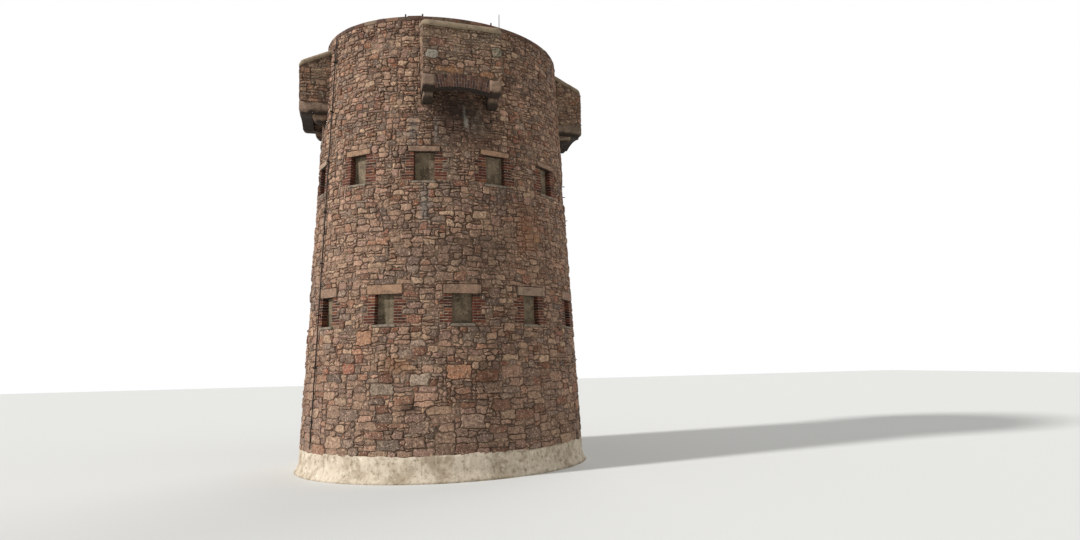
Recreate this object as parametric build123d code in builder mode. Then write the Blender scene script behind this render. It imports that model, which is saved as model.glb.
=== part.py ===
"""Round coast-defence tower of granite rubble, with four machicolations and two rows of blocked loopholes.

Millimetres, +Z up. The origin is the centre of the base at the lowest ground level, and the front
machicolation faces -Y. A bearing is an angle in degrees from that front towards +X.
"""

import os
from math import cos, radians, sin, sqrt

from build123d import *

os.makedirs("parts", exist_ok=True)

# Battered outer face
foot_radius = 4100.0
batter = 0.060
rim_height = 12270.0
coping_height = 100.0
coping_overhang = 15.0

# Storeys: floors, and how far each room's wall lies inside the foot's radius
ground_floor_top = 100.0
floor_below_lower_sill = 930.0
floor_below_upper_sill = 940.0
floor_thickness = 150.0
platform_thickness = 200.0
ground_room_inset = 1850.0
first_room_inset = 1750.0
second_room_inset = 1650.0
roof_well_inset = 1300.0
floor_clearance = 5.0
hatch_size = 800.0
hatch_offset = 1250.0

# Rendered foot
plinth_top = 680.0
plinth_skin = 30.0
plinth_flare = 100.0
plinth_flare_height = 260.0
skin_gap = 0.3

# Brickwork shared by jambs and arches
brick_course = 75.0
brick_header = 110.0
brick_length = 215.0

# Loopholes
loophole_count = 12
loophole_width = 540.0
tooth_groups = (3, 3, 2, 2)
loophole_inner_width = 800.0
throat_depth = 330.0
lower_sill = 4030.0
upper_sill_below_rim = 4480.0
upper_row_turn = 15.0
lower_lintel_width = 980.0
lower_lintel_height = 260.0
upper_lintel_width = 860.0
upper_lintel_height = 160.0
lintel_depth = 280.0
sill_width = 640.0
sill_height = 90.0
sill_nose = 45.0
sill_weathering = 40.0
panel_recess = 150.0
panel_thickness = 100.0

# Machicolations
box_count = 4
box_width = 2000.0
box_wall = 300.0
box_projection = 600.0
box_bond = 110.0
springing_below_rim = 2210.0
arch_rise = 85.0
arch_ring = 1.5 * brick_length + 15.0
beam_tail = 650.0
beam_nose_radius = 45.0
corbel_width = 240.0
corbel_height = 230.0
corbel_projection = 320.0
corbel_tail = 420.0
corbel_curve = 180.0
front_cap_eave_below_rim = 420.0
front_cap_head_below_rim = 120.0
cap_eave_below_rim = 690.0
cap_head_below_rim = 210.0
cap_thickness = 175.0
cap_lip = 25.0
cap_corner = 130.0
passage_height = 1100.0

# Raised doorway at the back
door_bearing = 180.0
door_width = 900.0
door_height = 1850.0
door_recess = 280.0
door_thickness = 60.0
door_jamb_width = 240.0
door_stone_depth = 380.0
door_lintel_height = 280.0
door_lintel_bearing = 200.0
threshold_nose = 130.0

# Lightning conductor and the irons on the rim
conductor_bearing = -65.5
conductor_radius = 15.0
conductor_standoff = 55.0
conductor_head_gap = 40.0
conductor_clips = 8
clip_size = 60.0
rim_block_bearing = -20.5
rim_block_length = 380.0
rim_block_depth = 300.0
rim_block_height = 90.0
stub_radius = 20.0
stub_height = 110.0
stub_bearings = (-24.5, -16.5, 15.9)
air_rod_bearing = 20.3
air_rod_radius = 9.0
air_rod_height = 420.0

# Worked out from the sizes above
quarter = 90.0
ground_room_radius = foot_radius - ground_room_inset
first_room_radius = foot_radius - first_room_inset
second_room_radius = foot_radius - second_room_inset
roof_well_radius = foot_radius - roof_well_inset
upper_sill = rim_height - upper_sill_below_rim
first_floor_top = lower_sill - floor_below_lower_sill
second_floor_top = upper_sill - floor_below_upper_sill
springing = rim_height - springing_below_rim
front_cap_levels = (rim_height - front_cap_eave_below_rim, rim_height - front_cap_head_below_rim)
cap_levels = (rim_height - cap_eave_below_rim, rim_height - cap_head_below_rim)
loophole_height = sum(tooth_groups) * brick_course
jamb_widths = (brick_length + brick_header, brick_length)
loophole_pitch = 360.0 / loophole_count
box_half = box_width / 2
span_half = box_half - box_wall
intrados_radius = (span_half**2 + arch_rise**2) / (2 * arch_rise)
arch_centre = springing + arch_rise - intrados_radius
extrados_radius = intrados_radius + arch_ring
beam_top = arch_centre + sqrt(extrados_radius**2 - span_half**2)
platform_top = beam_top + platform_thickness
parapet_top = rim_height - coping_height


def face_radius(height):
    """Radius of the battered outer face at a height."""
    return foot_radius - batter * height


def face_distance(offset, height):
    """Distance of the outer face in front of the axis, at a sideways offset and a height."""
    return sqrt(face_radius(height) ** 2 - offset**2)


box_face = face_radius(springing) + box_projection
box_tail = face_distance(box_half, max(front_cap_levels + cap_levels)) - box_bond
box_inner_face = box_face - box_wall
corbel_root = face_distance(span_half, springing - corbel_height)


def keep(piece, name):
    """Label a finished piece and write its STEP file."""
    piece.label = name
    export_step(piece, f"parts/{name}.step")


def turned(bearing):
    """The rotation that carries a piece made at the front to a bearing."""
    return Location((0, 0, 0), (0, 0, bearing))


def upright_plane(distance):
    """A vertical plane in front of the axis, with X to the side, Z up and its normal towards -Y."""
    return Plane(origin=(0, -distance, 0), x_dir=(1, 0, 0), z_dir=(0, -1, 0))


def block(side_low, side_high, near, far, bottom, top):
    """A plain squared block between two sideways offsets, two distances in front and two heights."""
    with BuildPart() as squared:
        with BuildSketch(upright_plane(near)):
            with Locations(((side_low + side_high) / 2, (bottom + top) / 2)):
                Rectangle(side_high - side_low, top - bottom)
        extrude(amount=far - near)
    return squared.part


# Voids and prisms made once at the front, then turned to their bearings


def embrasure(sill):
    """The hole of a loophole: straight behind the face, then splayed to the room."""
    outer = face_radius(sill) + sill_nose
    throat = face_radius(sill) - throat_depth
    inner = first_room_radius / 2
    splay = (loophole_inner_width - loophole_width) / 2
    room_side = first_room_radius
    half = loophole_width / 2
    wide = half + splay
    with BuildPart() as hole:
        with BuildSketch(Plane.XY.offset(sill)):
            with BuildLine():
                Polyline(
                    (-half, -outer),
                    (half, -outer),
                    (half, -throat),
                    (wide, -room_side),
                    (wide, -inner),
                    (-wide, -inner),
                    (-wide, -room_side),
                    (-half, -throat),
                    close=True,
                )
            make_face()
        extrude(amount=loophole_height)
    return hole.part


def jamb_prisms(sill):
    """Both toothed brick jambs of a loophole, run out past the face."""
    back = face_radius(sill) - brick_length
    front = face_radius(sill) + sill_nose
    with BuildPart() as prisms:
        with BuildSketch(upright_plane(back)):
            bottom = sill
            for group, courses in enumerate(tooth_groups):
                width = jamb_widths[group % 2]
                height = courses * brick_course
                middle = (loophole_width + width) / 2
                with Locations((middle, bottom + height / 2), (-middle, bottom + height / 2)):
                    Rectangle(width, height)
                bottom += height
        extrude(amount=front - back)
    return prisms.part


def sill_stone(sill):
    """A sill whose nose stands out of the face and weathers to the front."""
    back = face_radius(sill) - panel_recess - panel_thickness
    face = face_radius(sill)
    nose = face + sill_nose
    with BuildPart() as stone:
        with BuildSketch(Plane.YZ.offset(-sill_width / 2)):
            with BuildLine():
                Polyline(
                    (-back, sill - sill_height),
                    (-nose, sill - sill_height),
                    (-nose, sill - sill_weathering),
                    (-face, sill),
                    (-back, sill),
                    close=True,
                )
            make_face()
        extrude(amount=sill_width)
    return stone.part


def lintel_prism(sill, width, height):
    """A lintel's block, run out past the face."""
    head = sill + loophole_height
    back = face_radius(sill) - lintel_depth
    front = face_radius(sill) + sill_nose
    return block(-width / 2, width / 2, back, front, head, head + height)


def blocking_panel(sill):
    """The rendered panel that closes a loophole."""
    front = face_radius(sill + loophole_height) - panel_recess
    back = front - panel_thickness
    half = loophole_width / 2
    return block(-half, half, back, front, sill, sill + loophole_height)


def within_face(piece):
    """The part of a piece that lies inside the battered face."""
    with BuildPart() as trimmed:
        add(piece)
        with Locations((0, 0, rim_height / 2)):
            Cone(foot_radius, face_radius(rim_height), rim_height, mode=Mode.INTERSECT)
    return trimmed.part


def row_of(piece, bearings):
    """Copies of a piece made at the front, one at each bearing."""
    with BuildPart() as row:
        for bearing in bearings:
            add(turned(bearing) * piece)
    return row.part


lower_bearings = [
    loophole_pitch * step
    for step in range(loophole_count)
    if loophole_pitch * step != door_bearing
]
upper_bearings = [
    upper_row_turn + loophole_pitch * step for step in range(loophole_count)
]
box_bearings = [360.0 / box_count * step for step in range(box_count)]

# Loophole pieces of both rows
rows = {
    "lower": (lower_sill, lower_lintel_width, lower_lintel_height, lower_bearings),
    "upper": (upper_sill, upper_lintel_width, upper_lintel_height, upper_bearings),
}
row_cuts = {}
for row_name, (sill, lintel_width, lintel_height, bearings) in rows.items():
    jambs = jamb_prisms(sill)
    lintel = lintel_prism(sill, lintel_width, lintel_height)
    stone = sill_stone(sill)
    keep(row_of(within_face(jambs), bearings), f"{row_name}_brick_jambs")
    keep(row_of(within_face(lintel), bearings), f"{row_name}_lintels")
    keep(row_of(stone, bearings), f"{row_name}_sills")
    keep(row_of(blocking_panel(sill), bearings), f"{row_name}_blocking_panels")
    with BuildPart() as cut:
        add(embrasure(sill))
        add(jambs)
        add(lintel)
        add(stone)
    row_cuts[row_name] = cut.part


# Doorway, made at the front and turned to the back
door_half = door_width / 2
door_head = first_floor_top + door_height
door_face = face_radius(first_floor_top)
stone_back = door_face - door_stone_depth
stone_front = door_face + threshold_nose
jamb_outer = door_half + door_jamb_width
lintel_half = door_half + door_lintel_bearing
leaf_front = face_radius(door_head) - door_recess

door_jamb_blocks = [
    block(door_half, jamb_outer, stone_back, stone_front, first_floor_top, door_head),
    block(-jamb_outer, -door_half, stone_back, stone_front, first_floor_top, door_head),
]
door_lintel_block = block(
    -lintel_half,
    lintel_half,
    stone_back,
    stone_front,
    door_head,
    door_head + door_lintel_height,
)
threshold_block = block(
    -jamb_outer,
    jamb_outer,
    stone_back,
    stone_front,
    first_floor_top - floor_thickness,
    first_floor_top,
)
leaf = block(
    -door_half,
    door_half,
    leaf_front - door_thickness,
    leaf_front,
    first_floor_top,
    door_head,
)
with BuildPart() as doorway_jambs:
    for jamb in door_jamb_blocks:
        add(turned(door_bearing) * within_face(jamb))
keep(doorway_jambs.part, "doorway_jambs")
keep(turned(door_bearing) * within_face(door_lintel_block), "doorway_lintel")
keep(turned(door_bearing) * threshold_block, "doorway_threshold")
keep(turned(door_bearing) * leaf, "door_leaf")

with BuildPart() as doorway_cut:
    add(
        block(
            -door_half,
            door_half,
            first_room_radius / 2,
            stone_front,
            first_floor_top,
            door_head,
        )
    )
    for jamb in door_jamb_blocks:
        add(jamb)
    add(door_lintel_block)
    add(threshold_block)


# Machicolations, made at the front and turned to four bearings
side_offsets = ((span_half, box_half), (-box_half, -span_half))


def beam(side_low, side_high):
    """A cantilever beam, its tail built into the wall and its lower front edge worn round."""
    tail = face_radius(springing) - beam_tail
    with BuildPart() as stone:
        add(block(side_low, side_high, tail, box_face, springing, beam_top))
        front_edges = stone.edges().filter_by(Axis.X).group_by(Axis.Y)[0]
        fillet(front_edges.sort_by(Axis.Z)[0], beam_nose_radius)
    return stone.part


def corbel(side_middle):
    """A corbel under a beam, with a rounded lower front."""
    tail = corbel_root - corbel_tail
    tip = corbel_root + corbel_projection
    with BuildPart() as stone:
        with BuildSketch(Plane.YZ.offset(side_middle - corbel_width / 2)) as profile:
            with Locations((-(tail + tip) / 2, springing - corbel_height / 2)):
                Rectangle(tip - tail, corbel_height)
            front_corners = profile.vertices().group_by(Axis.Y)[0]
            fillet(front_corners.sort_by(Axis.Z)[0], corbel_curve)
        extrude(amount=corbel_width)
    return stone.part


with BuildPart() as brick_arch:
    with BuildSketch(upright_plane(box_inner_face)):
        with BuildLine():
            lower_left = (-span_half, springing)
            lower_right = (span_half, springing)
            upper_left = (-span_half, beam_top)
            upper_right = (span_half, beam_top)
            ThreePointArc(lower_left, (0, springing + arch_rise), lower_right)
            Line(lower_right, upper_right)
            ThreePointArc(upper_right, (0, arch_centre + extrados_radius), upper_left)
            Line(upper_left, lower_left)
        make_face()
    extrude(amount=box_wall)


def box_walls(eave, head):
    """The front and side walls of a box, up to the underside of its cap."""
    with BuildPart() as walls:
        with BuildSketch(upright_plane(box_inner_face)):
            with BuildLine():
                Polyline(
                    (-span_half, beam_top),
                    (-box_half, beam_top),
                    (-box_half, head),
                    (box_half, head),
                    (box_half, beam_top),
                    (span_half, beam_top),
                )
                ThreePointArc(
                    (span_half, beam_top),
                    (0, arch_centre + extrados_radius),
                    (-span_half, beam_top),
                )
            make_face()
        extrude(amount=box_wall)
        for low, high in side_offsets:
            add(block(low, high, box_tail, box_inner_face, beam_top, head))
        with BuildSketch(Plane.YZ.offset(-box_half)):
            with BuildLine():
                Polyline(
                    (-box_tail, head - cap_thickness),
                    (-box_face, eave - cap_thickness),
                    (-box_face, head),
                    (-box_tail, head),
                    close=True,
                )
            make_face()
        extrude(amount=box_width, mode=Mode.SUBTRACT)
    return walls.part


def sloping_cap(eave, head):
    """The cap of a box: a thick slab that falls from the tower to the eave and laps the walls."""
    lip_drop = cap_lip * (head - eave) / (box_face - box_tail)
    with BuildPart() as cap:
        with BuildSketch(Plane.YZ.offset(-box_half - cap_lip)):
            with BuildLine():
                Polyline(
                    (-box_tail, head - cap_thickness),
                    (-box_tail, head),
                    (-box_face - cap_lip, eave - lip_drop),
                    (-box_face - cap_lip, eave - cap_thickness - lip_drop),
                    close=True,
                )
            make_face()
        extrude(amount=box_width + 2 * cap_lip)
        corner_edges = cap.edges().filter_by(Axis.Z).group_by(Axis.Y)[0]
        fillet(corner_edges, cap_corner)
    return cap.part


def box_cut(eave, head):
    """The pockets and the passage that a box needs in the tower's wall."""
    tail = face_radius(springing) - beam_tail
    with BuildPart() as cut:
        for low, high in side_offsets:
            add(block(low, high, box_tail, box_face, beam_top, head))
            add(block(low, high, tail, box_face, springing, beam_top))
        for side in (-1, 1):
            middle = side * (span_half + box_wall / 2)
            add(
                block(
                    middle - corbel_width / 2,
                    middle + corbel_width / 2,
                    corbel_root - corbel_tail,
                    box_face,
                    springing - corbel_height,
                    springing,
                )
            )
        passage_head = platform_top + passage_height
        add(block(-span_half, span_half, 0, box_face, platform_top, passage_head))
        add(sloping_cap(eave, head))
    return cut.part


with BuildPart() as beam_pair:
    for low, high in side_offsets:
        add(beam(low, high))
with BuildPart() as corbel_pair:
    for side in (-1, 1):
        add(corbel(side * (span_half + box_wall / 2)))

keep(row_of(beam_pair.part, box_bearings), "machicolation_beams")
keep(row_of(corbel_pair.part, box_bearings), "machicolation_corbels")
keep(row_of(brick_arch.part, box_bearings), "machicolation_brick_arches")
side_names = ("front", "right", "back", "left")
box_levels = (front_cap_levels, cap_levels, cap_levels, cap_levels)
box_cuts = []
with BuildPart() as caps:
    for side_name, bearing, levels in zip(side_names, box_bearings, box_levels):
        keep(turned(bearing) * box_walls(*levels), f"machicolation_walls_{side_name}")
        add(turned(bearing) * sloping_cap(*levels))
        box_cuts.append((box_cut(*levels), [bearing]))
keep(caps.part, "machicolation_caps")


# Walls: each storey's ring in four quarters


def wall_quarter(name, bottom, top, room_radius, bearing, cuts):
    """A quarter of a storey's ring, centred on a bearing, with its openings and pockets cut."""
    start = radians(bearing - quarter / 2 - 90)
    section = Plane(
        origin=(0, 0, 0),
        x_dir=(cos(start), sin(start), 0),
        z_dir=(sin(start), -cos(start), 0),
    )
    with BuildPart() as wall:
        with BuildSketch(section):
            with BuildLine():
                Polyline(
                    (room_radius, bottom),
                    (face_radius(bottom), bottom),
                    (face_radius(top), top),
                    (room_radius, top),
                    close=True,
                )
            make_face()
        revolve(axis=Axis.Z, revolution_arc=quarter)
        for cut_piece, cut_bearings in cuts:
            for cut_bearing in cut_bearings:
                away = abs((cut_bearing - bearing + 180) % 360 - 180)
                if away <= quarter / 2 + loophole_pitch / 2:
                    add(turned(cut_bearing) * cut_piece, mode=Mode.SUBTRACT)
    keep(wall.part, name)


first_ledge = first_floor_top - floor_thickness
second_ledge = second_floor_top - floor_thickness
corner_names = ("front_right", "back_right", "back_left", "front_left")
for step in range(4):
    square_on = quarter * step
    diagonal = square_on + quarter / 2
    wall_quarter(
        f"ground_wall_{side_names[step]}",
        0,
        first_ledge,
        ground_room_radius,
        square_on,
        [],
    )
    wall_quarter(
        f"first_wall_{side_names[step]}",
        first_ledge,
        second_ledge,
        first_room_radius,
        square_on,
        [(row_cuts["lower"], lower_bearings), (doorway_cut.part, [door_bearing])],
    )
    wall_quarter(
        f"second_wall_{corner_names[step]}",
        second_ledge,
        beam_top,
        second_room_radius,
        diagonal,
        [(row_cuts["upper"], upper_bearings), *box_cuts],
    )
    wall_quarter(
        f"parapet_{side_names[step]}",
        beam_top,
        parapet_top,
        roof_well_radius,
        square_on,
        box_cuts,
    )

with BuildPart() as coping:
    with BuildSketch(Plane.XZ):
        with BuildLine():
            Polyline(
                (roof_well_radius - coping_overhang, parapet_top),
                (face_radius(parapet_top) + coping_overhang, parapet_top),
                (face_radius(parapet_top) + coping_overhang, rim_height),
                (roof_well_radius - coping_overhang, rim_height),
                close=True,
            )
        make_face()
    revolve(axis=Axis.Z)
keep(coping.part, "parapet_coping")

with BuildPart() as plinth:
    with BuildSketch(Plane.XZ):
        with BuildLine():
            skin_inner = face_radius(0) + skin_gap
            Polyline(
                (skin_inner, 0),
                (skin_inner + plinth_skin + plinth_flare, 0),
                (face_radius(plinth_flare_height) + plinth_skin, plinth_flare_height),
                (face_radius(plinth_top) + plinth_skin, plinth_top),
                (face_radius(plinth_top) + skin_gap, plinth_top),
                close=True,
            )
        make_face()
    revolve(axis=Axis.Z)
keep(plinth.part, "plinth_render")


# Floors


def upper_floor(name, top, thickness, room_radius):
    """A round floor that rests on the ledge below it, with a square hatch."""
    with BuildPart() as disc:
        with BuildSketch(Plane.XY.offset(top - thickness)):
            Circle(room_radius - floor_clearance)
            with Locations((hatch_offset, 0)):
                Rectangle(hatch_size, hatch_size, mode=Mode.SUBTRACT)
        extrude(amount=thickness)
    keep(disc.part, name)


with BuildPart() as ground_floor:
    with BuildSketch(Plane.XY):
        Circle(ground_room_radius - skin_gap)
    extrude(amount=ground_floor_top)
keep(ground_floor.part, "ground_floor")

upper_floor("first_floor", first_floor_top, floor_thickness, first_room_radius)
upper_floor("second_floor", second_floor_top, floor_thickness, second_room_radius)
upper_floor("roof_platform", platform_top, platform_thickness, roof_well_radius)


# Lightning conductor, parallel to the battered face
conductor_foot = plinth_top + sill_height
conductor_run = parapet_top - conductor_head_gap - conductor_foot
lean = sqrt(1 + batter**2)
conductor_plane = Plane(
    origin=(0, -face_radius(conductor_foot) - conductor_standoff, conductor_foot),
    x_dir=(1, 0, 0),
    z_dir=(0, batter / lean, 1 / lean),
)
with BuildPart() as conductor:
    with BuildSketch(conductor_plane):
        Circle(conductor_radius)
    extrude(amount=conductor_run * lean)
    for step in range(conductor_clips):
        along = conductor_run * lean * (step + 0.5) / conductor_clips
        with BuildSketch(conductor_plane.offset(along)):
            Rectangle(clip_size, 2 * (conductor_standoff - 2 * skin_gap))
        extrude(amount=clip_size / 2)
keep(turned(conductor_bearing) * conductor.part, "lightning_conductor")

# Low block and irons on the rim
rim_middle = (roof_well_radius + face_radius(rim_height)) / 2
rim_outer = face_radius(rim_height) - 4 * stub_radius
with BuildPart() as rim_block:
    with BuildSketch(Plane.XY.offset(rim_height)):
        with Locations((0, -rim_middle)):
            Rectangle(rim_block_length, rim_block_depth)
    extrude(amount=rim_block_height)
keep(turned(rim_block_bearing) * rim_block.part, "rim_block")

with BuildPart() as rim_irons:
    for bearing in stub_bearings:
        with BuildSketch(Plane.XY.offset(rim_height)):
            with Locations(turned(bearing) * Location((0, -rim_outer, 0))):
                Circle(stub_radius)
        extrude(amount=stub_height)
    with BuildSketch(Plane.XY.offset(rim_height)):
        with Locations(turned(air_rod_bearing) * Location((0, -rim_outer, 0))):
            Circle(air_rod_radius)
    extrude(amount=air_rod_height)
keep(rim_irons.part, "rim_irons")
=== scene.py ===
"""Looks of a round granite coast tower: rubble, brick dressings, machicolations and render.

Metres, +Z up, in the part's own frame. A bearing is an angle from the front (-Y) towards +X.
"""

import logging
import math
import random
from dataclasses import dataclass, field, replace
from enum import Enum
from functools import partial
from itertools import product
from typing import Any, Callable, Iterable, Sequence

import bmesh
import bpy
from mathutils import Euler, Matrix, Vector


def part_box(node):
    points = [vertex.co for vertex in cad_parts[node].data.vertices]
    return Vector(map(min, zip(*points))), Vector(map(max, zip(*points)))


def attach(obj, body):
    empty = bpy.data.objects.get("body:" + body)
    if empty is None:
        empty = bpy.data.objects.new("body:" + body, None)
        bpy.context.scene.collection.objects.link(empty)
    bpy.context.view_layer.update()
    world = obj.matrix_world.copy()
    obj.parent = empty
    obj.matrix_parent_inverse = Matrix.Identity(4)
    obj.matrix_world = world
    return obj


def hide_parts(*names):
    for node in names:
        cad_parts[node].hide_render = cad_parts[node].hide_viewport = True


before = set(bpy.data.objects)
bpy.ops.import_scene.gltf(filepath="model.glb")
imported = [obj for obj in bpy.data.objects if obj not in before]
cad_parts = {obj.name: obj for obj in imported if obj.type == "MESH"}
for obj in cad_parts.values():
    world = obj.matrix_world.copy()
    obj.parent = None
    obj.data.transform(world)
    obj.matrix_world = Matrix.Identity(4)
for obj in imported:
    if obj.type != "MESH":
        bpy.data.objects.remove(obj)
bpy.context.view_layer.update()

log = logging.getLogger("tower")

Tree = bpy.types.NodeTree
Node = bpy.types.Node
Socket = bpy.types.NodeSocket
Material = bpy.types.Material
Mesh = bpy.types.Mesh
Piece = bpy.types.Object
Point = tuple[float, float]
Extent = tuple[float, float, float]
Colour = tuple[float, float, float, float]
Cells = tuple[int, int, int, int]

BODY = "root"
MILLIMETRE = 0.001
PHOTO_WIDTH = 1080
SEED = 1779
WHITE: Colour = (1.0, 1.0, 1.0, 1.0)
# How deep the back of a stone lies in its mortar.
SEAT_DEPTH = 0.012

MATH = "ShaderNodeMath"
VECTOR_MATH = "ShaderNodeVectorMath"
MAP_RANGE = "ShaderNodeMapRange"
NOISE = "ShaderNodeTexNoise"
SEPARATE = "ShaderNodeSeparateXYZ"
MIX = "ShaderNodeMix"
# The colour inputs and the colour output of a Mix node.
UNDER, OVER, MIXED = 6, 7, 2


def linear(code: str) -> Colour:
    """Turn an sRGB hex colour into a linear colour with full alpha.

    Args:
        code: Six hex digits after a hash.
    Returns:
        Linear red, green, blue and alpha.
    """
    def channel(value: int) -> float:
        """One channel, from 0 to 255, as a linear share."""
        share = value / 255
        return share / 12.92 if share <= 0.04045 else ((share + 0.055) / 1.055) ** 2.4

    red, green, blue = (channel(int(code[i:i + 2], 16)) for i in (1, 3, 5))
    return red, green, blue, 1.0


def add_node(tree: Tree, kind: str, inputs: dict[Any, Any] | Sequence[Any] = (),
             **settings: Any) -> Node:
    """Add a node with its settings, its input values and its links.

    Args:
        tree: The tree that gets the node.
        kind: The node's type name.
        inputs: What each input gets, by name or index, or in order: a plain value, the output
            socket that feeds it, or a node, which stands for its first output.
        settings: Properties of the node.
    Returns:
        The new node.
    """
    node = tree.nodes.new(kind)
    for name, value in settings.items():
        setattr(node, name, value)
    for key, value in inputs.items() if isinstance(inputs, dict) else enumerate(inputs):
        if isinstance(value, Node):
            value = value.outputs[0]
        if isinstance(value, Socket):
            tree.links.new(value, node.inputs[key])
        else:
            node.inputs[key].default_value = value
    return node


def around(bearing: float, radius: float, height: float) -> Vector:
    """The point at a bearing in degrees, a radius and a height."""
    turn = math.radians(bearing)
    return Vector((radius * math.sin(turn), -radius * math.cos(turn), height))


@dataclass(frozen=True)
class LoopholeRow:
    """A row of loopholes: the height of its sills, its lintels' size and its bearings."""

    name: str
    sill: float
    lintel_width: float
    lintel_height: float
    bearings: tuple[float, ...]


LOWER_ROW = LoopholeRow("lower", 4.030, 0.980, 0.260,
                        tuple(30.0 * step for step in range(12) if step != 6))
UPPER_ROW = LoopholeRow("upper", 7.790, 0.860, 0.160,
                        tuple(15.0 + 30.0 * step for step in range(12)))
BOX_BEARINGS = {"front": 0.0, "right": 90.0, "back": 180.0, "left": 270.0}
DOOR_BEARING = 180.0


@dataclass(frozen=True)
class TowerSizes:
    """Sizes that the visual pieces share, read from the frame or repeated from the part."""

    foot_radius: float
    batter: float
    parapet_top: float
    rim: float
    beam_top: float
    platform: float
    box_face: float
    well_radius: float = 2.800
    rows: tuple[LoopholeRow, ...] = (LOWER_ROW, UPPER_ROW)
    loophole_width: float = 0.540
    brick_course: float = 0.075
    brick_length: float = 0.215
    brick_header: float = 0.110
    tooth_groups: tuple[int, ...] = (3, 3, 2, 2)
    lintel_depth: float = 0.280
    sill_width: float = 0.640
    sill_height: float = 0.090
    panel_recess: float = 0.150
    box_half: float = 1.000
    box_wall: float = 0.300
    springing: float = 10.060
    arch_rise: float = 0.085
    arch_ring: float = 0.3375
    front_cap: tuple[float, float] = (11.850, 12.150)
    side_cap: tuple[float, float] = (11.580, 12.060)
    cap_thickness: float = 0.175
    box_bond: float = 0.110
    corbel_height: float = 0.230
    corbel_projection: float = 0.320
    corbel_curve: float = 0.180
    passage_height: float = 1.150
    plinth_top: float = 0.680
    door_sill: float = 3.100
    door_height: float = 1.850
    door_width: float = 0.900
    door_jamb: float = 0.240
    threshold_height: float = 0.150
    door_lintel_height: float = 0.280
    door_lintel_bearing: float = 0.200

    def radius(self, height: float) -> float:
        """Radius of the battered mortar face at a height."""
        return self.foot_radius - self.batter * height

    @property
    def loophole_height(self) -> float:
        """Height of a loophole, in whole brick courses."""
        return sum(self.tooth_groups) * self.brick_course

    @property
    def door_head(self) -> float:
        """Height of the doorway's head."""
        return self.door_sill + self.door_height

    @property
    def span_half(self) -> float:
        """Half the clear span between a machicolation's beams."""
        return self.box_half - self.box_wall

    @property
    def box_tail(self) -> float:
        """Distance of the vertical plane where a machicolation's side walls are bonded in."""
        head = max(self.front_cap[1], self.side_cap[1])
        return math.sqrt(self.radius(head) ** 2 - self.box_half**2) - self.box_bond

    @property
    def arch_radius(self) -> float:
        """Radius of a machicolation arch's underside."""
        return (self.span_half**2 + self.arch_rise**2) / (2 * self.arch_rise)

    @property
    def arch_centre(self) -> float:
        """Height of the arch's centre."""
        return self.springing + self.arch_rise - self.arch_radius

    def cap_levels(self, side: str) -> tuple[float, float]:
        """Heights of a cap at its eave and at its head; the front cap is the highest."""
        return self.front_cap if side == "front" else self.side_cap

    def cap_top(self, side: str, distance: float) -> float:
        """Height of a cap's sloping top.

        Args:
            side: The machicolation's side.
            distance: How far in front of the tower's axis.
        Returns:
            The height.
        """
        eave, head = self.cap_levels(side)
        slope = (head - eave) / (self.box_face - self.box_tail)
        return eave + (self.box_face - distance) * slope

    def cap_meets_wall(self, side: str, offset: float) -> float:
        """Height at which a cap's top meets the round wall at a sideways offset."""
        return self.cap_top(side, math.sqrt(self.radius(self.parapet_top) ** 2 - offset**2))


def read_sizes() -> TowerSizes:
    """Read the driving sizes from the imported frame.

    Returns:
        The sizes.
    """
    ground_low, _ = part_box("ground_wall_front")
    parapet_low, parapet_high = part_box("parapet_front")
    _, rim_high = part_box("parapet_coping")
    _, platform_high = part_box("roof_platform")
    box_low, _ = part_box("machicolation_walls_front")
    foot = -ground_low[1]
    return TowerSizes(
        foot_radius=foot, batter=(foot + parapet_low[1]) / parapet_low[2],
        parapet_top=parapet_high[2], rim=rim_high[2], beam_top=parapet_low[2],
        platform=platform_high[2], box_face=-box_low[1])


# Finishes


class Spread(Enum):
    """Where a layer of colour lies on a surface."""

    PATCHES = "patches all over"
    STREAKS = "streaks down the face"
    SKYWARD = "on what faces the sky"
    # A dark layer here paints shade on what faces down.
    UNDERSIDE = "on what faces down"


@dataclass(frozen=True)
class Speckle:
    """One layer of mottling or painted shade: its colour, the size of its patches and its cover."""

    colour: str
    size_mm: float
    low: float
    high: float
    strength: float = 1.0
    spread: Spread = Spread.PATCHES
    stretch: float = 0.06

    def pattern(self, tree: Tree, place: Socket) -> Node:
        """Work out where the layer lies.

        Args:
            tree: The material's tree.
            place: Object coordinates.
        Returns:
            The node that gives more where the layer covers more.
        """
        add = partial(add_node, tree)
        scale = 1 / (self.size_mm * MILLIMETRE)
        if self.spread is Spread.PATCHES:
            return add(NOISE, {"Vector": place, "Scale": scale, "Detail": 4.0, "Roughness": 0.6})
        if self.spread is Spread.STREAKS:
            stretched = add("ShaderNodeMapping", {
                "Vector": place, "Scale": (scale, scale, scale * self.stretch)})
            return add(NOISE, {"Vector": stretched, "Scale": 1.0, "Detail": 3.0})
        # Faces up or down; a dark layer on downward faces is painted shade.
        normal = add("ShaderNodeNewGeometry").outputs["Normal"]
        turn = 1.0 if self.spread is Spread.SKYWARD else -1.0
        facing = add(MATH, (add(SEPARATE, (normal,)).outputs["Z"], turn), operation="MULTIPLY")
        noise = add(NOISE, {"Vector": place, "Scale": scale, "Detail": 5.0})
        return add(MATH, (facing, noise), operation="MULTIPLY")

    def lay(self, tree: Tree, place: Socket, under: Any) -> Socket:
        """Lay the layer over a colour.

        Args:
            tree: The material's tree.
            place: Object coordinates.
            under: The colour below.
        Returns:
            The mixed colour.
        """
        cover = add_node(tree, MAP_RANGE, {
            "Value": self.pattern(tree, place), "From Min": self.low, "From Max": self.high,
            "To Max": self.strength})
        return add_node(tree, MIX, {"Factor": cover, UNDER: under, OVER: linear(self.colour)},
                        data_type="RGBA").outputs[MIXED]


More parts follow.
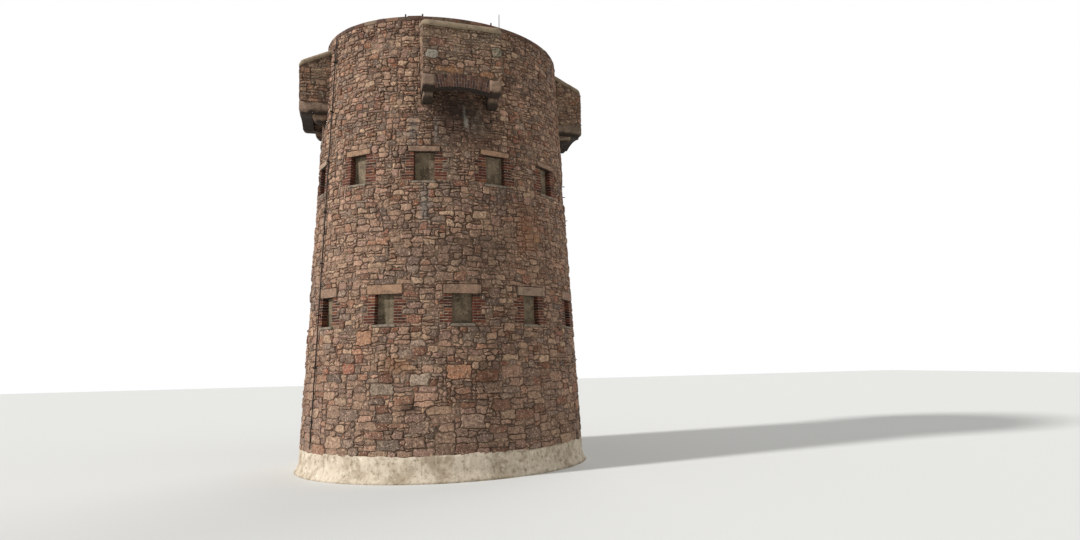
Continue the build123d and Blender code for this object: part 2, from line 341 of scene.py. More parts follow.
@dataclass(frozen=True)
class FrontPatch:
    """A patch down the front of the wall, a run of lime or soot, or painted shadow under a box: its
    place in metres and its colour.
    """

    colour: str
    across: float
    top: float
    bottom: float
    half_width: float
    strength: float

    def lay(self, tree: Tree, place: Socket, under: Any) -> Socket:
        """Lay the patch over a colour, wavering and broken, and faded at its ends.

        Args:
            tree: The material's tree.
            place: Object coordinates.
            under: The colour below.
        Returns:
            The mixed colour.
        """
        add = partial(add_node, tree)
        x, y, z = add(SEPARATE, (place,)).outputs
        noise = add(NOISE, {"Vector": place, "Scale": 7.0, "Detail": 6.0, "Roughness": 0.65})
        loose = add(MATH, (noise, 0.5), operation="SUBTRACT")
        aside = add(MATH, (x, self.across), operation="SUBTRACT")
        waver = add(MATH, (loose, 2.4 * self.half_width, aside), operation="MULTIPLY_ADD")
        reach = (self.top - self.bottom) / 2
        rise = add(MATH, (z, self.bottom + reach), operation="SUBTRACT")
        across, along = (
            add(MATH, (add(MATH, (away,), operation="ABSOLUTE"), most), operation="DIVIDE")
            for away, most in ((waver, self.half_width), (rise, reach)))
        edge = add(MATH, (loose, 1.6, add(MATH, (across, along), operation="MAXIMUM")),
                   operation="MULTIPLY_ADD")
        cover = add(MAP_RANGE, {"Value": edge, "From Min": 0.30, "From Max": 1.05,
                                "To Min": self.strength, "To Max": 0.0})
        on_front = add(MATH, (y, -1.0), operation="LESS_THAN")
        factor = add(MATH, (cover, on_front), operation="MULTIPLY")
        return add(MIX, {"Factor": factor, UNDER: under, OVER: linear(self.colour)},
                   data_type="RGBA").outputs[MIXED]


def start_material(name: str, **inputs: float) -> tuple[Material, Tree, Node, Socket]:
    """Start a node material.

    Args:
        name: The material's name.
        inputs: Values of the shader's inputs, by name with underscores for spaces.
    Returns:
        The material, its tree, its shader and the object coordinates.
    """
    material = bpy.data.materials.new(name)
    material.use_nodes = True
    tree = material.node_tree
    shader = tree.nodes["Principled BSDF"]
    for key, value in inputs.items():
        shader.inputs[key.replace("_", " ")].default_value = value
    return material, tree, shader, add_node(tree, "ShaderNodeTexCoord").outputs["Object"]


def finish_shader(tree: Tree, shader: Node, colour: Socket, height: Node,
                  depth_mm: float) -> None:
    """Feed a shader its colour and a bump.

    Args:
        tree: The material's tree.
        shader: The shader.
        colour: The finished colour.
        height: The pattern that stands up.
        depth_mm: How far it stands up.
    """
    tree.links.new(colour, shader.inputs["Base Color"])
    bump = add_node(tree, "ShaderNodeBump", {
        "Height": height.outputs[0], "Distance": depth_mm * MILLIMETRE, "Strength": 1.0})
    tree.links.new(bump.outputs["Normal"], shader.inputs["Normal"])


@dataclass(frozen=True)
class Masonry:
    """A mineral surface, dull and rough. With no colour, each stone's own tint is its base."""

    name: str
    colour: str | None
    layers: tuple[Speckle | FrontPatch, ...]
    roughness: float = 0.9
    bump_mm: float = 3.0
    bump_size_mm: float = 12.0

    def make(self) -> Material:
        """Build the node material.

        Returns:
            The material.
        """
        material, tree, shader, place = start_material(
            self.name, Roughness=self.roughness, Specular_IOR_Level=0.3)
        colour = linear(self.colour) if self.colour else add_node(
            tree, "ShaderNodeAttribute", attribute_name="tint").outputs["Color"]
        for layer in self.layers:
            colour = layer.lay(tree, place, colour)
        grain = add_node(tree, NOISE, {
            "Vector": place, "Scale": 1 / (self.bump_size_mm * MILLIMETRE),
            "Detail": 8.0, "Roughness": 0.72})
        finish_shader(tree, shader, colour, grain, self.bump_mm)
        return material


@dataclass(frozen=True)
class RustedIron:
    """Wrought iron, dark and pitted, with rust in its hollows."""

    name: str
    colour: str
    rust: str
    rust_cover: float
    pit_mm: float = 14.0
    depth_mm: float = 1.5

    def make(self) -> Material:
        """Build the node material.

        Returns:
            The material.
        """
        material, tree, shader, place = start_material(self.name, Metallic=0.5)
        pits = add_node(tree, NOISE, {
            "Vector": place, "Scale": 1 / (self.pit_mm * MILLIMETRE), "Detail": 6.0})
        cover = add_node(tree, MAP_RANGE, {"Value": pits, "From Min": 1 - self.rust_cover})
        colour = add_node(tree, MIX, {
            "Factor": cover, UNDER: linear(self.colour), OVER: linear(self.rust)},
            data_type="RGBA").outputs[MIXED]
        shade = add_node(tree, MAP_RANGE, {"Value": pits, "To Min": 0.55, "To Max": 0.9})
        tree.links.new(shade.outputs["Result"], shader.inputs["Roughness"])
        finish_shader(tree, shader, colour, pits, self.depth_mm)
        return material


@dataclass(frozen=True)
class SawnWood:
    """Boards with grain along one axis, weathered or tarred."""

    name: str
    colour: str
    grain: str
    along: int
    grain_mm: float = 9.0
    depth_mm: float = 1.5
    stretch: float = 0.04

    def make(self) -> Material:
        """Build the node material.

        Returns:
            The material.
        """
        material, tree, shader, place = start_material(self.name, Roughness=0.78)
        scale = [1 / (self.grain_mm * MILLIMETRE)] * 3
        scale[self.along] *= self.stretch
        stretched = add_node(tree, "ShaderNodeMapping", {"Vector": place, "Scale": tuple(scale)})
        fibres = add_node(tree, NOISE, {
            "Vector": stretched, "Scale": 1.0, "Detail": 5.0, "Roughness": 0.6})
        cover = add_node(tree, MAP_RANGE, {"Value": fibres, "From Min": 0.35, "From Max": 0.7})
        colour = add_node(tree, MIX, {
            "Factor": cover, UNDER: linear(self.colour), OVER: linear(self.grain)},
            data_type="RGBA").outputs[MIXED]
        finish_shader(tree, shader, colour, fibres, self.depth_mm)
        return material


# Painted shadow with soot under the front box, lime that has run from it, and rain runs under the
# upper sills.
FRONT_RUNS_AND_SHADE = (
    # The first two darken the wall under the front box: painted shadow with soot.
    FrontPatch("#261b15", 0.08, 10.25, 9.25, 0.95, 0.78),
    FrontPatch("#33251c", 0.10, 9.70, 8.60, 1.00, 0.45),
    FrontPatch("#a39e94", 0.15, 9.60, 9.16, 0.070, 0.62),
    FrontPatch("#8a8378", 0.10, 9.85, 9.50, 0.045, 0.45),
    FrontPatch("#857e74", -0.62, 9.50, 8.75, 0.065, 0.50),
    FrontPatch("#625f5a", -1.20, 9.55, 8.60, 0.13, 0.55),
    FrontPatch("#77736d", -0.94, 7.74, 6.50, 0.15, 0.62),
    FrontPatch("#6b6259", 0.98, 7.72, 7.00, 0.22, 0.40),
    FrontPatch("#83502f", 1.85, 7.40, 5.80, 0.40, 0.42),
    FrontPatch("#3c2d24", -0.10, 6.40, 5.50, 1.30, 0.30),
    FrontPatch("#7a5232", -1.57, 3.22, 2.72, 0.42, 0.50),
    FrontPatch("#2e221a", -1.36, 2.14, 1.66, 0.24, 0.65),
    FrontPatch("#33271f", 0.55, 3.30, 2.20, 0.40, 0.35),
)

# Painted shade that blackens every downward face, with some soot and damp in it.
UNDERSIDE_SHADE_AND_SOOT = Speckle("#1f1712", 220, 0.06, 0.30, 0.88, Spread.UNDERSIDE)

# Split granite in pinks, tans and greys: each stone keeps its own tint, with crystals that show
# as dark and pale specks. Feldspar and mica are 3 to 8 mm and are drawn at 28 mm and more, so
# that they show from the road.
GRANITE_RUBBLE = Masonry(
    "split_granite_rubble", None,
    (
        Speckle("#4b382e", 130, 0.48, 0.68, 0.55),
        Speckle("#cfac90", 95, 0.54, 0.72, 0.55),
        Speckle("#48362c", 52, 0.48, 0.66, 0.72),
        Speckle("#dfc3a8", 40, 0.55, 0.68, 0.62),
        Speckle("#271d17", 28, 0.55, 0.68, 0.72),
        Speckle("#6b5f50", 1300, 0.56, 0.76, 0.35),
        Speckle("#3d3028", 180, 0.58, 0.80, 0.40, Spread.STREAKS),
        # Runs down the front, with painted shadow under the front box.
        *FRONT_RUNS_AND_SHADE,
    ),
    roughness=0.92, bump_mm=38.0, bump_size_mm=75)

# Lime mortar, dark with soot and damp in the joints, sandy where it is sheltered.
LIME_MORTAR = Masonry(
    "weathered_lime_mortar", "#5d4a3d",
    (
        Speckle("#362920", 170, 0.47, 0.64, 0.75),
        Speckle("#9c856e", 460, 0.50, 0.66, 0.75),
        Speckle("#846e5a", 60, 0.55, 0.72, 0.6),
        Speckle("#33281f", 40, 0.58, 0.70, 0.6),
        # Runs down the front, with painted shadow under the front box.
        *FRONT_RUNS_AND_SHADE,
    ),
    roughness=0.95, bump_mm=14.0, bump_size_mm=35)

# Pale lime mortar between bricks, smeared a little over their arrises, with painted shade on what
# faces down.
BRICK_MORTAR = Masonry(
    "pale_lime_mortar", "#94826d",
    (
        Speckle("#4f4236", 110, 0.44, 0.62, 0.8),
        Speckle("#c9b8a2", 45, 0.55, 0.7, 0.55),
        UNDERSIDE_SHADE_AND_SOOT,
    ),
    roughness=0.95)

# The same mortar under the boxes, greyed by soot.
ARCH_MORTAR = replace(BRICK_MORTAR, name="sooty_lime_mortar", colour="#86756a")

# Hand-made brick, burnt dark red to brown and worn, with painted shade and soot on what faces down.
HANDMADE_BRICK = Masonry(
    "hand_made_red_brick", None,
    (
        Speckle("#34201b", 55, 0.5, 0.7, 0.55),
        Speckle("#94604c", 30, 0.6, 0.75, 0.4),
        UNDERSIDE_SHADE_AND_SOOT,
    ))

# Hammer-dressed granite: one stone, coarse crystals, softened arrises, painted shade on what faces
# down.
DRESSED_GRANITE = Masonry(
    "hammer_dressed_granite", None,
    (
        Speckle("#54453a", 150, 0.46, 0.66, 0.60),
        Speckle("#c2a688", 105, 0.56, 0.72, 0.45),
        Speckle("#5a4a3d", 36, 0.5, 0.7, 0.5),
        Speckle("#b59b80", 24, 0.56, 0.74, 0.4),
        Speckle("#35291f", 16, 0.62, 0.74, 0.4),
        Speckle("#43372e", 120, 0.55, 0.75, 0.40, Spread.STREAKS),
        UNDERSIDE_SHADE_AND_SOOT,
    ),
    roughness=0.92, bump_mm=22.0, bump_size_mm=60)

# Cement render floated with wood, lumpy and stained by damp and soot, that closes the loopholes.
PANEL_RENDER = Masonry(
    "floated_cement_render", "#7d6e5a",
    (
        Speckle("#4b3f32", 170, 0.45, 0.62, 0.85),
        Speckle("#9f8e74", 85, 0.52, 0.66, 0.75),
        Speckle("#5e5b47", 300, 0.54, 0.74, 0.4),
        Speckle("#2e241b", 50, 0.56, 0.68, 0.7),
        Speckle("#342b22", 70, 0.52, 0.72, 0.35, Spread.STREAKS),
    ),
    roughness=0.94, bump_mm=18.0, bump_size_mm=75)

# Trowelled cement sills, grey-brown, washed pale and dark by rain.
SILL_CEMENT = Masonry(
    "trowelled_sill_cement", "#877868",
    (
        Speckle("#544b41", 110, 0.44, 0.62, 0.75),
        Speckle("#b3a793", 50, 0.56, 0.72, 0.55),
        Speckle("#3b332b", 40, 0.58, 0.70, 0.5),
        Speckle("#4a463f", 50, 0.55, 0.75, 0.5, Spread.STREAKS),
    ),
    roughness=0.93, bump_mm=4.0, bump_size_mm=25)

# Weathered cement flaunching over the machicolations, with lichen and moss on top.
CAP_CEMENT = Masonry(
    "weathered_cap_cement", "#8d7c66",
    (
        Speckle("#5f5142", 190, 0.45, 0.66, 0.65),
        Speckle("#86604e", 110, 0.56, 0.72, 0.55),
        Speckle("#b3a284", 60, 0.55, 0.75, 0.5),
        Speckle("#776a45", 160, 0.38, 0.60, 0.6, Spread.SKYWARD),
    ),
    roughness=0.94, bump_mm=8.0, bump_size_mm=45)

# Limewashed render on the foot, flaking and splashed with mud.
LIMEWASH = Masonry(
    "flaking_limewashed_render", "#cbbda8",
    (
        Speckle("#94836c", 480, 0.44, 0.62, 0.75),
        Speckle("#7d6c56", 120, 0.55, 0.68, 0.75),
        Speckle("#54483a", 45, 0.62, 0.70, 0.75),
        Speckle("#eee4d2", 150, 0.55, 0.7, 0.5),
        Speckle("#8b7b65", 90, 0.56, 0.72, 0.5, Spread.STREAKS),
    ),
    bump_mm=7.0, bump_size_mm=60)

# Thin reddish stones bedded flat on the rim, mossy on top.
COPING_STONE = Masonry(
    "flat_coping_stone", None,
    (
        Speckle("#3d2b22", 45, 0.5, 0.7, 0.5),
        Speckle("#a08468", 30, 0.6, 0.75, 0.4),
        Speckle("#77714a", 120, 0.5, 0.7, 0.6, Spread.SKYWARD),
    ),
    roughness=0.92, bump_mm=5.0, bump_size_mm=25)

# Split paving stone, grey and slightly uneven underfoot.
FLAGSTONE = Masonry(
    "riven_flagstone", None,
    (
        Speckle("#565043", 110, 0.48, 0.7, 0.6),
        Speckle("#9c9280", 45, 0.58, 0.75, 0.4),
    ),
    roughness=0.92, bump_mm=5.0, bump_size_mm=40)

# Iron that weather has dulled to near black, with a little brown rust.
CONDUCTOR_METAL = RustedIron("dull_conductor_strip", "#2d2a26", "#4b3a2c", 0.5)

# Forged iron rusted orange in its pits.
RIM_IRON = RustedIron("rusted_wrought_iron", "#2a211c", "#6a3b22", 0.6)

# Oak under tar: near black, with the grain just showing, upright on the door.
DOOR_OAK = SawnWood("tarred_oak_plank", "#3a2d24", "#1f1813", along=2)

# Bare sawn boards, brown with darker grain, from front to back.
FLOOR_BOARD = SawnWood("sawn_floor_board", "#7a6047", "#54402d", along=1)


# Geometry node trees


def start_tree(name: str, numbers: dict[str, float], vectors: dict[str, Extent] | None = None,
               counts: Sequence[str] = ()) -> tuple[Tree, Node]:
    """Start a geometry tree with its named inputs.

    Args:
        name: The tree's name.
        numbers: Names and defaults of its number inputs.
        vectors: Names and defaults of its vector inputs.
        counts: Names of its whole-number inputs, which are 3 by default.
    Returns:
        The tree and its group input node.
    """
    tree = bpy.data.node_groups.new(name, "GeometryNodeTree")
    tree.interface.new_socket(name="Geometry", in_out="INPUT", socket_type="NodeSocketGeometry")
    tree.interface.new_socket(name="Geometry", in_out="OUTPUT", socket_type="NodeSocketGeometry")
    tree.interface.new_socket(name="Finish", in_out="INPUT", socket_type="NodeSocketMaterial")
    for kind, defaults in (("Float", numbers), ("Vector", vectors or {}),
                           ("Int", dict.fromkeys(counts, 3))):
        for key, value in defaults.items():
            socket = tree.interface.new_socket(
                name=key, in_out="INPUT", socket_type=f"NodeSocket{kind}")
            socket.default_value = value
    return tree, add_node(tree, "NodeGroupInput")


def end_tree(tree: Tree, given: Node, geometry: Node, smooth: bool = False) -> Tree:
    """Close a tree with shading, Realize Instances and Set Material.

    Args:
        tree: The tree.
        given: Its group input node.
        geometry: The node that gives the finished geometry.
        smooth: Whether its faces are shaded smooth.
    Returns:
        The tree.
    """
    shaded = add_node(tree, "GeometryNodeSetShadeSmooth", {
        "Geometry": geometry, "Shade Smooth": smooth})
    real = add_node(tree, "GeometryNodeRealizeInstances", (shaded,))
    dressed = add_node(tree, "GeometryNodeSetMaterial", {
        "Geometry": real, "Material": given.outputs["Finish"]})
    tree.links.new(dressed.outputs[0], add_node(tree, "NodeGroupOutput").inputs[0])
    return tree


def grain_field(tree: Tree, size: Any, seed: Any) -> Node:
    """Add a noise between about -0.5 and 0.5.

    Args:
        tree: The tree.
        size: Size of its patches in metres.
        seed: Which noise.
    Returns:
        The node that gives it.
    """
    add = partial(add_node, tree)
    noise = add(NOISE, {
        "Vector": add("GeometryNodeInputPosition"), "W": seed,
        "Scale": add(MATH, (1.0, size), operation="DIVIDE"), "Detail": 2.0},
        noise_dimensions="4D")
    return add(MATH, (noise, 0.5), operation="SUBTRACT")


def split_position(tree: Tree) -> tuple[Socket, Socket, Socket]:
    """The X, Y and Z of each point."""
    return tuple(add_node(tree, SEPARATE, (add_node(tree, "GeometryNodeInputPosition"),)).outputs)


STONE_INPUTS = {"Seat": SEAT_DEPTH, "Shoulder": 0.026, "Unevenness": 0.028, "Grain": 0.075,
                "Seed": 3.0}


def raise_stones(tree: Tree, given: Node) -> Node:
    """Raise flat outlines into closed stones with a shoulder and a bulging, uneven face.

    Args:
        tree: The tree.
        given: Its group input node, with the inputs in STONE_INPUTS.
    Returns:
        The node that gives the stones, still on the flat sheet.
    """
    flank_share, shoulder_share, crown_share, crown_width = 0.55, 0.33, 0.12, 0.55
    least_crowned, weld, seated = 0.11, 0.0002, 0.012
    slow_size, slow_share, wander_size, wander = 0.22, 1.6, 0.05, 0.016
    add = partial(add_node, tree)
    outlines, seed = given.outputs["Geometry"], given.outputs["Seed"]
    proud, span = (add("GeometryNodeInputNamedAttribute", {"Name": name}, data_type="FLOAT")
                   for name in ("proud", "span"))
    flank = add(MATH, (proud, flank_share, given.outputs["Seat"]), operation="MULTIPLY_ADD")
    sides = add("GeometryNodeExtrudeMesh", {
        "Mesh": outlines, "Offset Scale": flank, "Individual": True}, mode="FACES")
    shoulder = add("GeometryNodeExtrudeMesh", {
        "Mesh": sides, "Selection": sides.outputs["Top"], "Individual": True,
        "Offset Scale": add(MATH, (proud, shoulder_share), operation="MULTIPLY")}, mode="FACES")
    shrink = add(MATH, (1.0, add(MATH, (given.outputs["Shoulder"], span), operation="DIVIDE")),
                 operation="SUBTRACT")
    narrowed = add("GeometryNodeScaleElements", {
        "Geometry": shoulder, "Selection": shoulder.outputs["Top"], "Scale": shrink})
    large = add("FunctionNodeBooleanMath", (
        shoulder.outputs["Top"], add(MATH, (span, least_crowned), operation="GREATER_THAN")),
        operation="AND")
    crown = add("GeometryNodeExtrudeMesh", {
        "Mesh": narrowed, "Selection": large, "Individual": True,
        "Offset Scale": add(MATH, (proud, crown_share), operation="MULTIPLY")}, mode="FACES")
    crowned = add("GeometryNodeScaleElements", {
        "Geometry": crown, "Selection": crown.outputs["Top"], "Scale": crown_width})
    joined = add("GeometryNodeJoinGeometry")
    for part in (crowned, add("GeometryNodeFlipFaces", (outlines,))):
        tree.links.new(part.outputs[0], joined.inputs[0])
    closed = add("GeometryNodeMergeByDistance", {"Geometry": joined, "Distance": weld})

    _, _, height = split_position(tree)
    lifted = add(MAP_RANGE, {"Value": height, "From Max": seated})
    slow = add(MATH, (grain_field(tree, slow_size, seed), slow_share), operation="MULTIPLY")
    rough = add(MATH, (slow, grain_field(tree, given.outputs["Grain"], seed)), operation="ADD")
    uneven = add(MATH, (rough, given.outputs["Unevenness"]), operation="MULTIPLY")
    lift = add(MATH, (uneven, lifted), operation="MULTIPLY")
    aside = add(MATH, (grain_field(tree, wander_size, seed), wander), operation="MULTIPLY")
    return add("GeometryNodeSetPosition", {
        "Geometry": closed, "Offset": add("ShaderNodeCombineXYZ", (aside, aside, lift))})


def round_wall_tree() -> Tree:
    """Build the tree that raises stones on a flat sheet and bends it round a battered cone.

    Returns:
        The tree.
    """
    tree, given = start_tree("stones on a battered round wall", STONE_INPUTS | {
        "Foot radius": 4.1, "Batter": 0.06, "Sheet radius": 3.75, "Side": 1.0})
    add = partial(add_node, tree)
    stones = raise_stones(tree, given)
    x, y, z = split_position(tree)
    side = given.outputs["Side"]
    ahead = add(MATH, (x, given.outputs["Sheet radius"]), operation="DIVIDE")
    turn = add(MATH, (ahead, side), operation="MULTIPLY")
    lean = add(MATH, (given.outputs["Batter"], y), operation="MULTIPLY")
    face = add(MATH, (given.outputs["Foot radius"], lean), operation="SUBTRACT")
    out = add(MATH, (z, side, face), operation="MULTIPLY_ADD")
    sine, cosine = (add(MATH, (turn,), operation=name) for name in ("SINE", "COSINE"))
    forward = add(MATH, (out, cosine), operation="MULTIPLY")
    bent = add("ShaderNodeCombineXYZ", (
        add(MATH, (out, sine), operation="MULTIPLY"),
        add(MATH, (forward, -1.0), operation="MULTIPLY"), y))
    return end_tree(tree, given, add("GeometryNodeSetPosition", {
        "Geometry": stones, "Position": bent}))


def flat_wall_tree() -> Tree:
    """Build the tree that raises stones on a flat sheet and sets it on a plane of the tower.

    Returns:
        The tree.
    """
    nowhere = (0.0, 0.0, 0.0)
    tree, given = start_tree("stones on a flat wall", STONE_INPUTS, {
        "Corner": nowhere, "Across": nowhere, "Outward": nowhere, "Up": (0.0, 0.0, 1.0)})
    add = partial(add_node, tree)
    stones = raise_stones(tree, given)
    x, y, z = split_position(tree)
    place = given.outputs["Corner"]
    for direction, amount in (("Across", x), ("Outward", z), ("Up", y)):
        step = add(VECTOR_MATH, {0: given.outputs[direction], "Scale": amount}, operation="SCALE")
        place = add(VECTOR_MATH, (place, step), operation="ADD")
    return end_tree(tree, given, add("GeometryNodeSetPosition", {
        "Geometry": stones, "Position": place}))


def block_tree() -> Tree:
    """Build the tree that sets squared blocks on points, each with its own size, turn and wear.

    Returns:
        The tree.
    """
    tree, given = start_tree("squared blocks on points", {
        "Wear": 0.004, "Unevenness": 0.004, "Grain": 0.05, "Seed": 1.0},
        counts=("Cuts X", "Cuts Y", "Cuts Z"))
    add = partial(add_node, tree)
    cube = add("GeometryNodeMeshCube", {"Size": (1.0, 1.0, 1.0)} | {
        f"Vertices {axis}": given.outputs[f"Cuts {axis}"] for axis in "XYZ"})
    near_side = 0.49
    on_x, on_y, on_z = (
        add(MATH, (add(MATH, (place,), operation="ABSOLUTE"), near_side), operation="GREATER_THAN")
        for place in split_position(tree))
    sides = add(MATH, (add(MATH, (on_x, on_y), operation="ADD"), on_z), operation="ADD")
    edge = add(MATH, (add(MATH, (sides, 1.0), operation="SUBTRACT"), 0.0), operation="MAXIMUM")
    marked = add("GeometryNodeStoreNamedAttribute", {
        "Geometry": cube, "Name": "arris", "Value": edge}, data_type="FLOAT", domain="POINT")
    euler, size = (add("GeometryNodeInputNamedAttribute", {"Name": name},
                       data_type="FLOAT_VECTOR") for name in ("turn", "size"))
    set_out = add("GeometryNodeInstanceOnPoints", {
        "Points": given.outputs["Geometry"], "Instance": marked,
        "Rotation": add("FunctionNodeEulerToRotation", (euler,)), "Scale": size})
    real = add("GeometryNodeRealizeInstances", (set_out,))
    arris = add("GeometryNodeInputNamedAttribute", {"Name": "arris"}, data_type="FLOAT")
    rough = grain_field(tree, given.outputs["Grain"], given.outputs["Seed"])
    swell = add(MATH, (rough, given.outputs["Unevenness"]), operation="MULTIPLY")
    swell = add(MATH, (swell, 2.0), operation="MULTIPLY")
    worn = add(MATH, (arris, given.outputs["Wear"]), operation="MULTIPLY")
    push = add(VECTOR_MATH, {0: add("GeometryNodeInputNormal"), "Scale": add(
        MATH, (swell, worn), operation="SUBTRACT")}, operation="SCALE")
    return end_tree(tree, given, add("GeometryNodeSetPosition", {
        "Geometry": real, "Offset": push}))


def roughen_tree() -> Tree:
    """Build the tree for a trowelled or dressed skin, pushed out and in by two sizes of noise.

    Returns:
        The tree.
    """
    tree, given = start_tree("uneven trowelled skin", {
        "Unevenness": 0.01, "Grain": 0.25, "Seed": 5.0})
    add = partial(add_node, tree)
    fine_size, fine_share = 0.3, 0.45
    grain, seed = given.outputs["Grain"], given.outputs["Seed"]
    fine = grain_field(tree, add(MATH, (grain, fine_size), operation="MULTIPLY"), seed)
    rough = add(MATH, (fine, fine_share, grain_field(tree, grain, seed)),
                operation="MULTIPLY_ADD")
    uneven = add(MATH, (rough, given.outputs["Unevenness"]), operation="MULTIPLY")
    push = add(VECTOR_MATH, {0: add("GeometryNodeInputNormal"), "Scale": add(
        MATH, (uneven, 2.0), operation="MULTIPLY")}, operation="SCALE")
    shaped = add("GeometryNodeSetPosition", {
        "Geometry": given.outputs["Geometry"], "Offset": push})
    return end_tree(tree, given, shaped, smooth=True)


def place_object(name: str, data: bpy.types.ID) -> Piece:
    """Put data into the scene as an object."""
    made = bpy.data.objects.new(name, data)
    bpy.context.collection.objects.link(made)
    return made


def run_tree(mesh: Mesh, tree: Tree, name: str, **values: Any) -> Piece:
    """Run a mesh through a geometry tree and keep the plain result.

    Args:
        mesh: What goes into the tree.
        tree: The tree.
        name: The piece's name.
        values: Input names, with underscores for spaces, and their values.
    Returns:
        The finished piece, with no modifier.
    """
    source = place_object(name + "_source", mesh)
    modifier = source.modifiers.new("make", "NODES")
    modifier.node_group = tree
    sockets = {item.name: item.identifier for item in tree.interface.items_tree
               if item.item_type == "SOCKET" and item.in_out == "INPUT"}
    for key, value in values.items():
        modifier[sockets[key.replace("_", " ")]] = value
    source.update_tag()
    bpy.context.view_layer.update()
    depsgraph = bpy.context.evaluated_depsgraph_get()
    result = bpy.data.meshes.new_from_object(source.evaluated_get(depsgraph), depsgraph=depsgraph)
    result.name = name
    source.modifiers.clear()
    bpy.data.objects.remove(source)
    log.info("%s: %d faces", name, len(result.polygons))
    return place_object(name, result)


def seat(piece: Piece, nodes: Sequence[str] = ()) -> None:
    """Hang a piece on the body that it rides on, and hide the CAD nodes that it stands for.

    Args:
        piece: The piece.
        nodes: The CAD nodes that it stands for, if any.
    """
    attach(piece, BODY)
    if nodes:
        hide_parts(*nodes)


def named_mesh(name: str, points: Iterable[Sequence[float]],
               faces: Iterable[Sequence[int]] = ()) -> Mesh:
    """Make a mesh.

    Args:
        name: Its name.
        points: Its points.
        faces: The points of each face, by number.
    Returns:
        The mesh.
    """
    mesh = bpy.data.meshes.new(name)
    mesh.from_pydata([tuple(point) for point in points], [], [tuple(face) for face in faces])
    mesh.update()
    return mesh


def write_attributes(mesh: Mesh, domain: str, **columns: Sequence[Any]) -> None:
    """Fill named attributes of a mesh.

    Args:
        mesh: The mesh.
        domain: POINT or FACE.
        columns: For each attribute, one number, vector or colour for each point or face.
    """
    for name, values in columns.items():
        if isinstance(values[0], float):
            mesh.attributes.new(name, "FLOAT", domain).data.foreach_set("value", values)
            continue
        kind, key = {3: ("FLOAT_VECTOR", "vector"), 4: ("FLOAT_COLOR", "color")}[len(values[0])]
        layer = mesh.attributes.new(name, kind, domain)
        layer.data.foreach_set(key, [part for value in values for part in value])


def face_outwards(mesh: Mesh) -> None:
    """Turn a closed mesh's faces outwards."""
    made = bmesh.new()
    made.from_mesh(mesh)
    bmesh.ops.recalc_face_normals(made, faces=made.faces)
    made.to_mesh(mesh)
    made.free()


def join(parts: Sequence[Piece], name: str) -> Piece:
    """Join plain pieces that all sit at the origin.

    Args:
        parts: The pieces.
        name: The joined piece's name.
    Returns:
        The joined piece.
    """
    with bpy.context.temp_override(active_object=parts[0], selected_editable_objects=list(parts)):
        bpy.ops.object.join()
    piece = parts[0]
    piece.name = piece.data.name = name
    return piece


def turned(place: Sequence[float], bearing: float) -> Vector:
    """A point or direction at the front, turned about the tower's axis to a bearing."""
    made = Vector(place)
    made.rotate(Euler((0, 0, math.radians(bearing))))
    return made


# Colours of single stones


Tints = Sequence[tuple[str, int]]

# Hex colours and how often each is drawn.
STONE_TINTS = (
    ("#a07f68", 20), ("#93735e", 20), ("#aa896f", 14), ("#866b5b", 14), ("#8f7969", 7),
    ("#776255", 8), ("#a4775d", 6), ("#8b5d49", 4), ("#b7977b", 8), ("#68564b", 5),
    ("#997767", 12), ("#b08972", 9), ("#7c5139", 6), ("#6f4a39", 6),
)
BRICK_TINTS = (("#4c2419", 8), ("#592b1e", 8), ("#3c1f17", 7), ("#643424", 6), ("#321c15", 4),
               ("#70412a", 3))
ARCH_TINTS = (("#54382c", 8), ("#45302a", 8), ("#614334", 6), ("#38271f", 5), ("#6e4f3e", 3))
GRANITE_TINTS = (("#8f7562", 5), ("#7e6858", 5), ("#987b66", 4), ("#84705f", 3))
PALE_TINTS = (("#a48167", 4), ("#927561", 4), ("#97806d", 2))
COPING_TINTS = (("#6f4b3c", 6), ("#5b4035", 6), ("#7d5f4c", 4), ("#86735f", 3), ("#4e3a31", 3))
FLAG_TINTS = (("#7d7465", 4), ("#6f675a", 4), ("#8a8070", 3))

# How far the lightness of single stones, bricks and slabs varies.
STONE_SPREAD, BRICK_SPREAD, SLAB_SPREAD, BRACKET_SPREAD = 0.22, 0.2, 0.15, 0.12


def pick_tint(draw: random.Random, tints: Tints, spread: float) -> Colour:
    """Draw one tint by weight and vary its lightness.

    Args:
        draw: The source of random numbers.
        tints: Hex colours and their weights.
        spread: Largest share by which the lightness varies.
    Returns:
        A linear colour.
    """
    codes, weights = zip(*tints)
    red, green, blue, alpha = linear(draw.choices(codes, weights)[0])
    level = 1 + draw.uniform(-spread, spread)
    return red * level, green * level, blue * level, alpha


def blend(under: Colour, over: Colour, share: float) -> Colour:
    """Mix a share of one colour over another."""
    return tuple(low + (high - low) * share for low, high in zip(under, over))


@dataclass(frozen=True)
class WallPatch:
    """A patch of wall tinted by damp, soot or lime, or darkened by painted shade, fading towards
    its edges.
    """

    bearing: float
    half_degrees: float
    low: float
    high: float
    colour: str
    share: float

    def cover(self, bearing: float, height: float) -> float:
        """How far the patch tints a stone at a bearing and a height, from 0 to its share."""
        away = abs((bearing - self.bearing + 180) % 360 - 180) / self.half_degrees
        rise = abs(height - (self.low + self.high) / 2) / ((self.high - self.low) / 2)
        return self.share * max(0.0, 1 - max(away, rise) ** 3)


